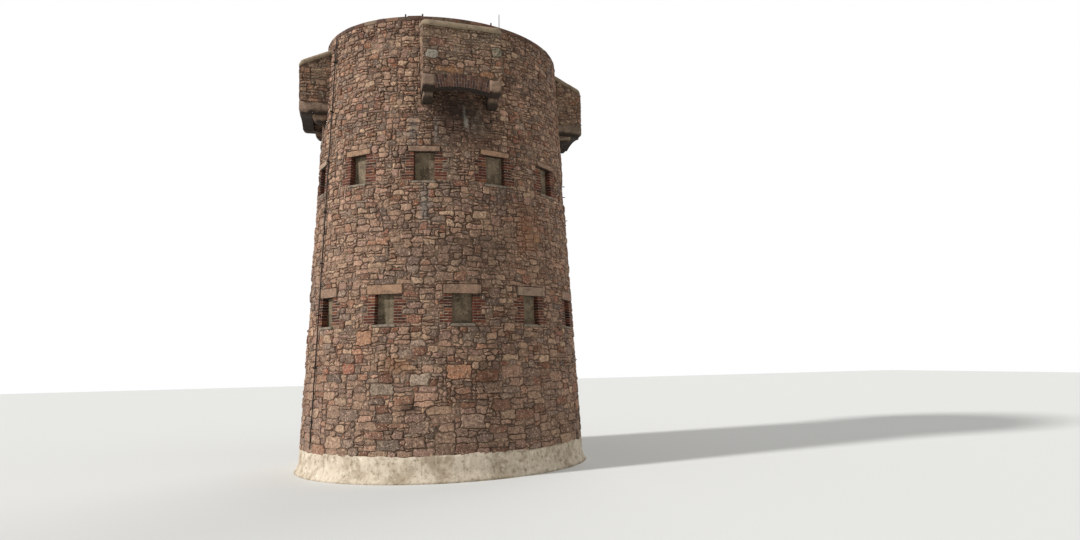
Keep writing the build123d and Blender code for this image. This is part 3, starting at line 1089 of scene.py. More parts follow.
# Painted shade with soot under each box, soot along the rim, lime beside it, and damp round the
# foot.
WALL_STAINS_AND_SHADE = tuple(
    WallPatch(bearing, half, low, high, colour, share)
    for centre in (0.0, 90.0, 180.0, 270.0)
    for bearing, half, low, high, colour, share in (
        # Under each box: painted shade with soot.
        (centre, 19.0, 8.5, 10.7, "#4a2c21", 0.62),
        (centre - 6.0, 5.0, 7.0, 9.4, "#57534b", 0.55),
        (centre + 7.0, 3.0, 9.0, 9.9, "#a79f92", 0.45),
        (centre, 23.0, 4.4, 6.4, "#5c4a41", 0.30),
        (centre + 30.0, 26.0, 5.2, 7.3, "#a07f68", 0.35),
        (centre, 50.0, 11.6, 12.6, "#5d4537", 0.35),
        (centre + 22.0, 30.0, 0.6, 2.6, "#8d7263", 0.35),
        (centre - 20.0, 24.0, 0.6, 1.7, "#574a40", 0.40),
    )
)


# Stones that stand out on the round wall, by bearing and height, and on the front box's face.
WALL_MARKS = ((-38.3, 3.68, 0.50, 0.38, "#ab7e60"), (-2.4, 2.78, 0.55, 0.38, "#b27f60"),
              (-45.0, 2.86, 0.42, 0.30, "#9c634d"), (35.6, 6.40, 0.30, 0.24, "#a07048"),
              (-16.2, 2.55, 0.45, 0.30, "#a89480"), (15.0, 6.80, 0.32, 0.30, "#987565"),
              (27.3, 5.26, 0.30, 0.26, "#926450"), (-6.6, 5.24, 0.50, 0.26, "#977660"),
              (-0.2, 5.24, 0.28, 0.26, "#97694e"), (2.9, 1.51, 0.60, 0.36, "#a0836f"),
              (-16.3, 1.40, 0.50, 0.30, "#967a68"), (-26.4, 0.94, 0.60, 0.30, "#7a6b5c"),
              (18.0, 3.30, 0.40, 0.30, "#826252"), (-30.0, 2.35, 0.55, 0.30, "#8a7a69"))
FACE_MARKS = ((0.70, 10.57, 0.80, 0.16, "#9c6d4a"), (1.67, 10.57, 0.42, 0.16, "#966647"),
              (0.20, 10.93, 0.30, 0.24, "#aca598"), (0.36, 11.28, 0.38, 0.24, "#815445"),
              (1.88, 11.18, 0.30, 0.24, "#7f7b69"), (1.93, 10.92, 0.20, 0.16, "#976149"))


@dataclass(frozen=True)
class MarkedStone:
    """A stone that stands out from the rest: its middle on the sheet, its size and its colour."""

    across: float
    height: float
    wide: float
    high: float
    colour: str


# Stones laid by rule


class Rubble(Enum):
    """How large the stones of a stretch of wall are, as (columns, rows, weight) of its net."""

    BLOCKS = ((6, 3, 8), (5, 3, 12), (5, 2, 8), (4, 3, 9), (4, 2, 10), (6, 4, 4), (5, 4, 5),
              (3, 2, 9), (3, 3, 4), (2, 2, 4), (3, 1, 5), (2, 1, 4), (4, 1, 3), (2, 3, 2),
              (1, 2, 1))
    MEDIUM = ((4, 2, 10), (3, 2, 14), (3, 1, 12), (2, 1, 10), (2, 2, 10), (5, 2, 4), (4, 1, 5),
              (4, 3, 3), (3, 3, 4), (2, 3, 3), (1, 1, 3), (1, 2, 3))
    SMALL = ((2, 1, 20), (3, 1, 12), (2, 2, 11), (3, 2, 9), (1, 1, 5), (1, 2, 4), (4, 1, 4),
             (2, 3, 3), (4, 2, 3))

    @classmethod
    def at(cls, height: float) -> "Rubble":
        """Large blocks low down on the round wall, smaller stones higher."""
        return cls.BLOCKS if height < 2.6 else cls.MEDIUM if height < 7.2 else cls.SMALL


@dataclass
class Sheet:
    """Flat outlines on an unrolled wall, one face for each stone, and what each stone gets."""

    points: list[Extent] = field(default_factory=list)
    faces: list[range] = field(default_factory=list)
    proud: list[float] = field(default_factory=list)
    span: list[float] = field(default_factory=list)
    tint: list[Colour] = field(default_factory=list)

    def add(self, outline: Sequence[Point], proud: float, tint: Colour) -> None:
        """Add a stone by its outline, how far it stands out and its tint."""
        first = len(self.points)
        self.points += [(x, y, -SEAT_DEPTH) for x, y in outline]
        self.faces.append(range(first, first + len(outline)))
        self.proud.append(proud)
        self.span.append(min(max(places) - min(places) for places in zip(*outline)))
        self.tint.append(tint)

    def mesh(self, name: str) -> Mesh:
        """The sheet as a mesh."""
        made = named_mesh(name, self.points, self.faces)
        write_attributes(made, "FACE", proud=self.proud, span=self.span, tint=self.tint)
        return made


@dataclass(frozen=True)
class Gap:
    """A stretch of the sheet with no stones, between two places across and two heights."""

    left: float
    right: float
    bottom: float
    top: float


def even_levels(anchors: Sequence[float], course: float) -> list[float]:
    """Set rows of about one course between anchor levels, which stay exact.

    Args:
        anchors: Rising levels.
        course: Height of a row.
    Returns:
        The levels of all rows.
    """
    levels = [anchors[0]]
    for low, high in zip(anchors, anchors[1:]):
        count = max(1, round((high - low) / course))
        levels += [low + (high - low) * (i + 1) / count for i in range(count)]
    return levels


def nearest_level(levels: Sequence[float], height: float) -> int:
    """Which level lies closest to a height."""
    return min(range(len(levels)), key=lambda i: abs(levels[i] - height))


@dataclass
class StoneNet:
    """A net of columns and rows over an unrolled wall, packed with stones of several cells.

    The knots stray from the even net, by a share of the pitch sideways, so that no joint runs
    straight. They stray less beside a gap, and not at all on its edge.
    """

    columns: int
    pitch: float
    levels: list[float]
    seed: int
    proud: Point
    closed: bool = True
    gaps: Sequence[Gap] = ()
    size: Rubble | None = None
    limit: Callable[[float, float], bool] | None = None
    tint_overlay: Callable[[Colour, float, float], Colour] | None = None
    marked: Sequence[MarkedStone] = ()
    stray_across: float = 0.36
    stray_up: float = 0.024
    wave: float = 0.014
    stray_near_gap: float = 0.4
    joint: float = 0.010
    joint_shares: Point = (0.2, 2.2)
    corner_pull: float = 0.14
    worn_corner: float = 0.018
    broken_corner: float = 0.045
    broken_share: float = 0.2

    def __post_init__(self) -> None:
        """Take the cells in the gaps and hold the knots on the gaps' edges."""
        self.draw = random.Random(self.seed)
        self.rows = len(self.levels) - 1
        self.free = [[True] * self.columns for _ in range(self.rows)]
        self.pinned: dict[tuple[int, int], float | None] = {}
        self.knots: dict[tuple[int, int], Point] = {}
        self.colours: dict[Cells, str] = {}
        for gap in self.gaps:
            left, right = (round(place / self.pitch) for place in (gap.left, gap.right))
            bottom, top = (nearest_level(self.levels, place) for place in (gap.bottom, gap.top))
            self.take((left, bottom, right - left, top - bottom))
            for row in range(bottom, top + 1):
                for column in range(left, right + 1):
                    self.pinned.setdefault(self.knot_key(column, row), None)
                for column, place in ((left, gap.left), (right, gap.right)):
                    self.pinned[self.knot_key(column, row)] = place - column * self.pitch

    def knot_key(self, column: int, row: int) -> tuple[int, int]:
        """The key of a knot, wrapped round a closed wall."""
        return (column % self.columns if self.closed else column, row)

    def knot(self, column: int, row: int) -> Point:
        """Where a knot of the net lies: moved at random, or held at a gap's edge.

        Args:
            column: The knot's column, which may lie past the end of a closed wall.
            row: The knot's row.
        Returns:
            Its place on the sheet.
        """
        key = self.knot_key(column, row)
        if key not in self.knots:
            near = any(self.knot_key(key[0] + step, row + rise) in self.pinned
                       for step, rise in product((-1, 0, 1), repeat=2))
            edge = row in (0, self.rows) or (not self.closed and column in (0, self.columns))
            held = key in self.pinned or edge
            loose = 0.0 if held else (self.stray_near_gap if near else 1.0)
            base, level = key[0] * self.pitch, self.levels[row]
            swing = math.sin(base * 2.1 + level * 1.3) + math.sin(base * 0.9 - level * 2.3 + 1.7)
            across = self.pinned.get(key)
            if across is None:
                across = self.draw.uniform(-self.stray_across, self.stray_across)
                across *= self.pitch * loose
            lift = self.draw.uniform(-self.stray_up, self.stray_up) * loose
            if not near:
                lift += self.wave * swing * loose
            self.knots[key] = (across, level + lift)
        across, height = self.knots[key]
        return column * self.pitch + across, height

    def fits(self, stone: Cells) -> bool:
        """Whether all the cells of a stone are on the net and free."""
        column, row, wide, high = stone
        if row + high > self.rows or (not self.closed and column + wide > self.columns):
            return False
        return all(self.free[j][i % self.columns]
                   for j in range(row, row + high) for i in range(column, column + wide))

    def take(self, stone: Cells) -> None:
        """Mark the cells of a stone or a gap as used."""
        column, row, wide, high = stone
        for j, i in product(range(row, row + high), range(column, column + wide)):
            self.free[j][i % self.columns] = False

    def lay(self) -> list[Cells]:
        """Pack the net with stones, row by row from the bottom.

        Returns:
            Column, row, width and height of each stone, in cells.
        """
        stones = self.lay_marked()
        for row in range(self.rows):
            shift = self.draw.randrange(self.columns) if self.closed else 0
            for step in range(self.columns):
                column = (step + shift) % self.columns
                if not self.free[row][column]:
                    continue
                stone = (column, row, 1, 1)
                choices = list((self.size or Rubble.at(self.levels[row])).value)
                while choices:
                    chosen = self.draw.choices(choices, [weight for *_, weight in choices])[0]
                    choices.remove(chosen)
                    if self.fits((column, row, *chosen[:2])):
                        stone = (column, row, *chosen[:2])
                        break
                self.take(stone)
                stones.append(stone)
        return stones

    def lay_marked(self) -> list[Cells]:
        """Lay the stones that stand out, where they fit on free cells.

        Returns:
            Their cells.
        """
        for mark in self.marked:
            row = nearest_level(self.levels[:-1], mark.height - mark.high / 2)
            course = self.levels[row + 1] - self.levels[row]
            stone = (round((mark.across - mark.wide / 2) / self.pitch), row,
                     max(1, round(mark.wide / self.pitch)), max(1, round(mark.high / course)))
            if self.fits(stone):
                self.take(stone)
                self.colours[stone] = mark.colour
        return list(self.colours)

    def outline(self, stone: Cells) -> list[Point]:
        """The worn outline of a stone, inside its joints, counter-clockwise.

        Args:
            stone: Column, row, width and height in cells.
        Returns:
            Points on the sheet.
        """
        column, row, wide, high = stone
        sides = (
            [(column + i, row) for i in range(wide + 1)],
            [(column + wide, row + j) for j in range(high + 1)],
            [(column + wide - i, row + high) for i in range(wide + 1)],
            [(column, row + high - j) for j in range(high + 1)],
        )
        inward = ((0, 1), (-1, 0), (0, -1), (1, 0))
        centre_x, centre_y = (sum(places) / 4
                              for places in zip(*(self.knot(*side[0]) for side in sides)))
        points = []
        for index, side in enumerate(sides):
            run = [self.knot(*key) for key in side[:-1]]
            end = self.knot(*side[-1])
            if len(run) == 1:
                run.append(((run[0][0] + end[0]) / 2, (run[0][1] + end[1]) / 2))
            step_x, step_y = inward[index]
            back_x, back_y = inward[index - 1]
            for place, (x, y) in enumerate(run):
                gap = self.joint * self.draw.uniform(*self.joint_shares)
                if place:
                    points.append((x + step_x * gap, y + step_y * gap))
                    continue
                pull = self.draw.uniform(0.0, self.corner_pull)
                broken = self.draw.random() < self.broken_share
                most = self.broken_corner if broken else self.worn_corner
                reach = math.hypot(centre_x - x, centre_y - y)
                pull = min(pull * most / self.worn_corner, most / max(reach, 0.001))
                points.append((
                    x + (step_x + back_x) * gap + (centre_x - x) * pull,
                    y + (step_y + back_y) * gap + (centre_y - y) * pull))
        return points

    def sheets(self, zone: Callable[[float, float], str] | str) -> dict[str, Mesh]:
        """Lay the stones and gather their outlines into flat meshes.

        Args:
            zone: The name of the sheet, or what gives it for a stone's middle.
        Returns:
            Name to mesh, one flat face for each stone.
        """
        gathered: dict[str, Sheet] = {}
        for stone in self.lay():
            outline = self.outline(stone)
            x, y = (sum(places) / len(outline) for places in zip(*outline))
            if self.limit and not self.limit(x, y):
                continue
            proud = self.draw.uniform(*self.proud)
            tint = pick_tint(self.draw, STONE_TINTS, STONE_SPREAD)
            if stone in self.colours:
                tint = linear(self.colours[stone])
            if self.tint_overlay:
                tint = self.tint_overlay(tint, x, y)
            name = zone if isinstance(zone, str) else zone(x, y)
            gathered.setdefault(name, Sheet()).add(outline, proud, tint)
        return {name: sheet.mesh(name) for name, sheet in gathered.items()}


@dataclass
class RoundWall:
    """The rubble of the battered wall, laid round every opening and machicolation."""

    sizes: TowerSizes
    columns: int = 240
    sheet_radius: float = 3.75
    proud: Point = (0.008, 0.046)
    inside_columns: int = 180
    inside_course: float = 0.085
    inside_proud: Point = (0.008, 0.02)
    plinth_lap: float = 0.03
    corbel_inset: float = 0.03
    cap_middle: float = 0.6
    ground_head: float = 2.95
    first_head: float = 6.7

    def gap(self, bearing: float, low: float, high: float, bottom: float, top: float) -> Gap:
        """A stretch with no stones.

        Args:
            bearing: What the sideways offsets are measured from.
            low: The left offset.
            high: The right offset.
            bottom: Its lowest height.
            top: Its highest height.
        Returns:
            The gap on the sheet.
        """
        radius = self.sizes.radius((bottom + top) / 2)
        left, right = ((math.radians(bearing) + math.asin(offset / radius)) * self.sheet_radius
                       for offset in (low, high))
        return Gap(left, right, bottom, top)

    def loophole_gaps(self) -> list[Gap]:
        """The stretches of both rows of loopholes, with their sills, lintels and jambs."""
        s = self.sizes
        found = []
        for row, bearing in ((row, bearing) for row in s.rows for bearing in row.bearings):
            head = row.sill + s.loophole_height
            bands = [(s.sill_width / 2, row.sill - s.sill_height, row.sill),
                     (row.lintel_width / 2, head, head + row.lintel_height)]
            bottom = row.sill
            for group, courses in enumerate(s.tooth_groups):
                jamb = s.brick_length + (0.0 if group % 2 else s.brick_header)
                top = bottom + courses * s.brick_course
                bands.append((s.loophole_width / 2 + jamb, bottom, top))
                bottom = top
            found += [self.gap(bearing, -half, half, low, high) for half, low, high in bands]
        return found

    def gaps(self) -> list[Gap]:
        """Every stretch with no rubble: openings with their dressings, and machicolations."""
        s = self.sizes
        found = self.loophole_gaps()
        for half, bottom, top in (
                (s.door_width / 2 + s.door_jamb, s.door_sill - s.threshold_height, s.door_head),
                (s.door_width / 2 + s.door_lintel_bearing, s.door_head,
                 s.door_head + s.door_lintel_height)):
            found.append(self.gap(DOOR_BEARING, -half, half, bottom, top))
        wall, inner, middle, inset = s.box_half, s.span_half, self.cap_middle, self.corbel_inset
        for side, bearing in BOX_BEARINGS.items():
            for low, high in ((-wall, -middle), (-middle, middle), (middle, wall)):
                head = s.cap_meets_wall(side, max(-low, high))
                found.append(self.gap(bearing, low, high, s.platform, head))
            for low, high in ((-wall, -inner), (inner, wall)):
                found.append(self.gap(bearing, low, high, s.springing, s.platform))
                found.append(self.gap(bearing, low + inset, high - inset,
                                      s.springing - s.corbel_height, s.springing))
        return found

    def zone(self, across: float, height: float) -> str:
        """The name of the storey and quarter that a stone belongs to."""
        bearing = math.degrees(across / self.sheet_radius) % 360
        quarter = list(BOX_BEARINGS)[int(((bearing + 45) % 360) // 90)]
        storey = ("ground" if height < self.ground_head else "first" if height < self.first_head
                  else "second" if height < self.sizes.beam_top else "parapet")
        return f"rubble_{storey}_{quarter}"

    def weather(self, tint: Colour, across: float, height: float) -> Colour:
        """A stone's tint with every stain of the wall over it, and the painted shade under the
        boxes.
        """
        bearing = math.degrees(across / self.sheet_radius)
        for patch in WALL_STAINS_AND_SHADE:
            tint = blend(tint, linear(patch.colour), patch.cover(bearing, height))
        return tint

    def build(self, tree: Tree, finish: Material) -> None:
        """Lay the outer face of the wall, in one piece for each storey and quarter.

        Args:
            tree: The tree for round walls.
            finish: The stones' material.
        """
        s = self.sizes
        lower, upper = (
            (row.sill - s.sill_height, row.sill, row.sill + s.loophole_height,
             row.sill + s.loophole_height + row.lintel_height) for row in s.rows)
        levels = even_levels([
            s.plinth_top - self.plinth_lap, s.door_sill - s.threshold_height, s.door_sill,
            *lower, s.door_head + s.door_lintel_height, *upper,
            s.springing - s.corbel_height, s.springing, s.beam_top, s.platform,
            s.cap_meets_wall("left", self.cap_middle), s.parapet_top], s.brick_course)
        marks = [MarkedStone(math.radians(bearing) * self.sheet_radius, *rest)
                 for bearing, *rest in WALL_MARKS]
        net = StoneNet(self.columns, math.tau * self.sheet_radius / self.columns, levels, SEED,
                       self.proud, gaps=self.gaps(), tint_overlay=self.weather, marked=marks)
        for name, mesh in net.sheets(self.zone).items():
            piece = run_tree(mesh, tree, name, Finish=finish, Foot_radius=s.foot_radius,
                             Batter=s.batter, Sheet_radius=self.sheet_radius)
            seat(piece)

    def build_inside(self, tree: Tree, finish: Material) -> None:
        """Lay the inner face of the parapet, above the roof platform.

        Args:
            tree: The tree for round walls.
            finish: The stones' material.
        """
        s = self.sizes
        radius = s.well_radius
        passage_head = s.platform + s.passage_height
        levels = even_levels([s.platform + 0.01, passage_head, s.parapet_top], self.inside_course)
        half = math.asin(s.span_half / radius)
        gaps = [Gap((turn - half) * radius, (turn + half) * radius, levels[0], passage_head)
                for turn in (-math.radians(bearing) for bearing in BOX_BEARINGS.values())]
        net = StoneNet(self.inside_columns, math.tau * radius / self.inside_columns, levels,
                       SEED + 1, self.inside_proud, gaps=gaps, size=Rubble.MEDIUM)
        for name, mesh in net.sheets("rubble_parapet_inside").items():
            piece = run_tree(mesh, tree, name, Finish=finish, Foot_radius=radius, Batter=0.0,
                             Sheet_radius=radius, Side=-1.0)
            seat(piece)


# Blocks set on points


@dataclass
class BlockBatch:
    """Squared blocks that are made together: bricks, lintels, coping stones or planks."""

    places: list[Vector] = field(default_factory=list)
    turns: list[Extent] = field(default_factory=list)
    extents: list[Extent] = field(default_factory=list)
    tints: list[Colour] = field(default_factory=list)

    def add(self, place: Vector, turn: Sequence[float], extent: Extent,
            tint: Colour = WHITE) -> None:
        """Add a block by its middle, its turn in radians, its size and its tint."""
        self.places.append(place)
        self.turns.append(tuple(turn))
        self.extents.append(extent)
        self.tints.append(tint)

    def build(self, name: str, tree: Tree, finish: Material, slot: str,
              nodes: Sequence[str] = (), cuts: tuple[int, int, int] = (3, 3, 3),
              **wear: float) -> None:
        """Make the batch as one plain piece.

        Args:
            name: The piece's name.
            tree: The tree for blocks.
            finish: Its material.
            slot: The name of a material slot, which is not used.
            nodes: The CAD nodes that it stands for.
            cuts: Points along a block's three edges.
            wear: Values of the tree's Wear, Unevenness and Grain.
        """
        mesh = named_mesh(name, self.places)
        write_attributes(mesh, "POINT", turn=self.turns, size=self.extents, tint=self.tints)
        piece = run_tree(mesh, tree, name, Finish=finish, Cuts_X=cuts[0], Cuts_Y=cuts[1],
                         Cuts_Z=cuts[2], **wear)
        seat(piece, nodes)


BRICK_WEAR = {"Wear": 0.003, "Unevenness": 0.003, "Grain": 0.03}


@dataclass
class Loopholes:
    """Both rows of loopholes: toothed brick jambs, lintels, sills and rendered panels."""

    sizes: TowerSizes
    bed: float = 0.012
    perpend: float = 0.005
    brick_proud: float = 0.006
    brick_seat: float = 0.012
    reveal: float = 0.007
    lintel_proud: float = 0.020
    sill_proud: float = 0.045
    sill_seat: float = 0.030
    sill_fall: float = 0.14
    panel_thickness: float = 0.1
    panel_lap: float = 0.020
    seed: int = SEED + 2

    def course_lengths(self, group: int, course: int) -> list[float]:
        """Lengths of a course's bricks, from the opening outwards.

        Args:
            group: Which group of courses, long and short by turns.
            course: Which course above the sill.
        Returns:
            The lengths.
        """
        s = self.sizes
        if group % 2 == 0:
            lengths = [s.brick_length, s.brick_header]
            return lengths[::-1] if course % 2 else lengths
        if course % 2:
            return [s.brick_header - 0.002, s.brick_header - 0.003]
        return [s.brick_length]

    def bricks(self, draw: random.Random, row: LoopholeRow) -> BlockBatch:
        """Lay the jamb bricks of one row, stretchers and headers by turns.

        Args:
            draw: The source of random numbers.
            row: The row.
        Returns:
            The bricks.
        """
        s = self.sizes
        batch = BlockBatch()
        depth = s.panel_recess + self.brick_seat
        groups = [group for group, count in enumerate(s.tooth_groups) for _ in range(count)]
        for bearing, side, (course, group) in product(row.bearings, (-1, 1), enumerate(groups)):
            height = row.sill + (course + 0.5) * s.brick_course
            radius = s.radius(height)
            start = s.loophole_width / 2 - self.reveal
            for length in self.course_lengths(group, course):
                at = bearing + math.degrees(math.asin(side * (start + length / 2) / radius))
                start += length
                front = radius + self.brick_proud + draw.uniform(-0.003, 0.004)
                skew = draw.uniform(-0.012, 0.012)
                batch.add(around(at, front - depth / 2, height),
                          (0, skew, math.radians(at) + draw.uniform(-0.01, 0.01)),
                          (length - self.perpend, depth, s.brick_course - self.bed),
                          pick_tint(draw, BRICK_TINTS, BRICK_SPREAD))
        return batch

    def lintels(self, draw: random.Random, row: LoopholeRow) -> BlockBatch:
        """Set one granite lintel over each loophole of a row.

        Args:
            draw: The source of random numbers.
            row: The row.
        Returns:
            The lintels.
        """
        s = self.sizes
        batch = BlockBatch()
        head = row.sill + s.loophole_height
        out = s.radius(head) + self.lintel_proud - s.lintel_depth / 2
        for bearing in row.bearings:
            wide = row.lintel_width * draw.uniform(0.94, 1.0)
            batch.add(around(bearing, out, head + row.lintel_height / 2),
                      (0, draw.uniform(-0.006, 0.006), math.radians(bearing)),
                      (wide, s.lintel_depth, row.lintel_height - self.bed),
                      pick_tint(draw, PALE_TINTS, SLAB_SPREAD))
        return batch

    def sills(self, row: LoopholeRow) -> BlockBatch:
        """The sloping cement sills of one row, a little proud of the wall."""
        s = self.sizes
        batch = BlockBatch()
        depth = self.sill_proud + s.panel_recess + self.sill_seat
        out = s.radius(row.sill) + self.sill_proud - depth / 2
        for bearing in row.bearings:
            batch.add(around(bearing, out, row.sill - s.sill_height / 2 - 0.006),
                      (self.sill_fall, 0, math.radians(bearing)),
                      (s.sill_width, depth, s.sill_height - 0.02))
        return batch

    def panels(self, row: LoopholeRow) -> BlockBatch:
        """The rendered panels that close the loopholes of one row."""
        s = self.sizes
        batch = BlockBatch()
        head = row.sill + s.loophole_height
        out = s.radius(head) - s.panel_recess - self.panel_thickness / 2
        for bearing in row.bearings:
            batch.add(around(bearing, out, (row.sill + head) / 2), (0, 0, math.radians(bearing)),
                      (s.loophole_width + self.panel_lap, self.panel_thickness,
                       head - row.sill + self.panel_lap))
        return batch

    def build(self, blocks: Tree, finishes: dict[str, Material]) -> None:
        """Make every piece of both rows.

        Args:
            blocks: The tree for blocks.
            finishes: Materials by name.
        """
        draw = random.Random(self.seed)
        for row in self.sizes.rows:
            name = row.name
            self.bricks(draw, row).build(
                f"{name}_jamb_bricks", blocks, finishes["brick"], "red_brick", **BRICK_WEAR)
            self.lintels(draw, row).build(
                f"{name}_lintel_stones", blocks, finishes["granite"], "dressed_granite",
                [f"{name}_lintels"], (11, 5, 5), Wear=0.008, Unevenness=0.010, Grain=0.12)
            self.sills(row).build(
                f"{name}_sill_slabs", blocks, finishes["sill"], "sill_cement",
                [f"{name}_sills"], (11, 6, 4), Wear=0.010, Unevenness=0.010, Grain=0.09)
            self.panels(row).build(
                f"{name}_rendered_panels", blocks, finishes["panel"], "panel_render",
                [f"{name}_blocking_panels"], (9, 2, 12), Wear=0.0, Unevenness=0.006, Grain=0.16)


@dataclass
class PrismBatch:
    """Stones with a shaped side view, cut several times across their width."""

    slices: int = 6
    points: list[Vector] = field(default_factory=list)
    faces: list[list[int]] = field(default_factory=list)
    tints: list[Colour] = field(default_factory=list)

    def add(self, profile: Sequence[Point], middle: float, width: float, bearing: float,
            tint: Colour = WHITE) -> None:
        """Add a stone.

        Args:
            profile: Distance and height of the side view's corners.
            middle: Sideways offset of its middle from the bearing.
            width: Its width.
            bearing: The bearing that it faces.
            tint: Its linear colour.
        """
        first, size, spans = len(self.points), len(profile), self.slices - 1
        for index in range(self.slices):
            across = middle + width * (index / spans - 0.5)
            self.points += [turned((across, -distance, height), bearing)
                            for distance, height in profile]
        for index, i in product(range(spans), range(size)):
            here = first + index * size + i
            after = first + index * size + (i + 1) % size
            self.faces.append([here, after, after + size, here + size])
        last = first + spans * size
        self.faces.append([first + i for i in reversed(range(size))])
        self.faces.append([last + i for i in range(size)])
        self.tints += [tint] * (spans * size + 2)

    def mesh(self, name: str) -> Mesh:
        """The batch as one mesh, its faces outwards."""
        made = named_mesh(name, self.points, self.faces)
        write_attributes(made, "FACE", tint=self.tints)
        face_outwards(made)
        return made


def round_nose(front: float, bottom: float, radius: float, steps: int) -> list[Point]:
    """The rounded lower front of a side view, from the bottom upwards.

    Args:
        front: Distance of the front.
        bottom: Height of the bottom.
        radius: Radius of the curve.
        steps: How many straight cuts make up the curve.
    Returns:
        Distance and height of its corners.
    """
    return [(front - radius + radius * math.sin(turn), bottom + radius - radius * math.cos(turn))
            for turn in (math.pi / 2 * i / steps for i in range(steps + 1))]


@dataclass(frozen=True)
class BoxFace:
    """One rubble face of a machicolation, set out as if the machicolation were at the front."""

    sizes: TowerSizes
    side: str
    name: str
    corner: Extent
    across: Extent
    outward: Extent
    width: float
    growth: str = "#55503a"

    @property
    def top(self) -> float:
        """Height of the net's head: under the front's eave, or past the sides' slope."""
        s = self.sizes
        eave, _ = s.cap_levels(self.side)
        return eave - s.cap_thickness + 0.01 if self.name == "face" else eave + 0.25

    def keeps(self, x: float, y: float) -> bool:
        """Whether a stone at a place on the sheet is above the arch and under the cap."""
        s = self.sizes
        if self.name == "face":
            reach = min(abs(x - self.width / 2), s.span_half)
            extrados = s.arch_radius + s.arch_ring
            return y > s.arch_centre + math.sqrt(extrados**2 - reach**2) + 0.03
        distance = s.box_face - x if self.name == "right" else s.box_tail + x
        return y < s.cap_top(self.side, distance) - s.cap_thickness - 0.05

    def weather(self, tint: Colour, _across: float, height: float) -> Colour:
        """A stone's tint with growth and soot over it, most of it close under the cap."""
        share = 0.22 + 0.45 * max(0.0, 1 - (self.top - height) / 0.35)
        return blend(tint, linear(self.growth), share)


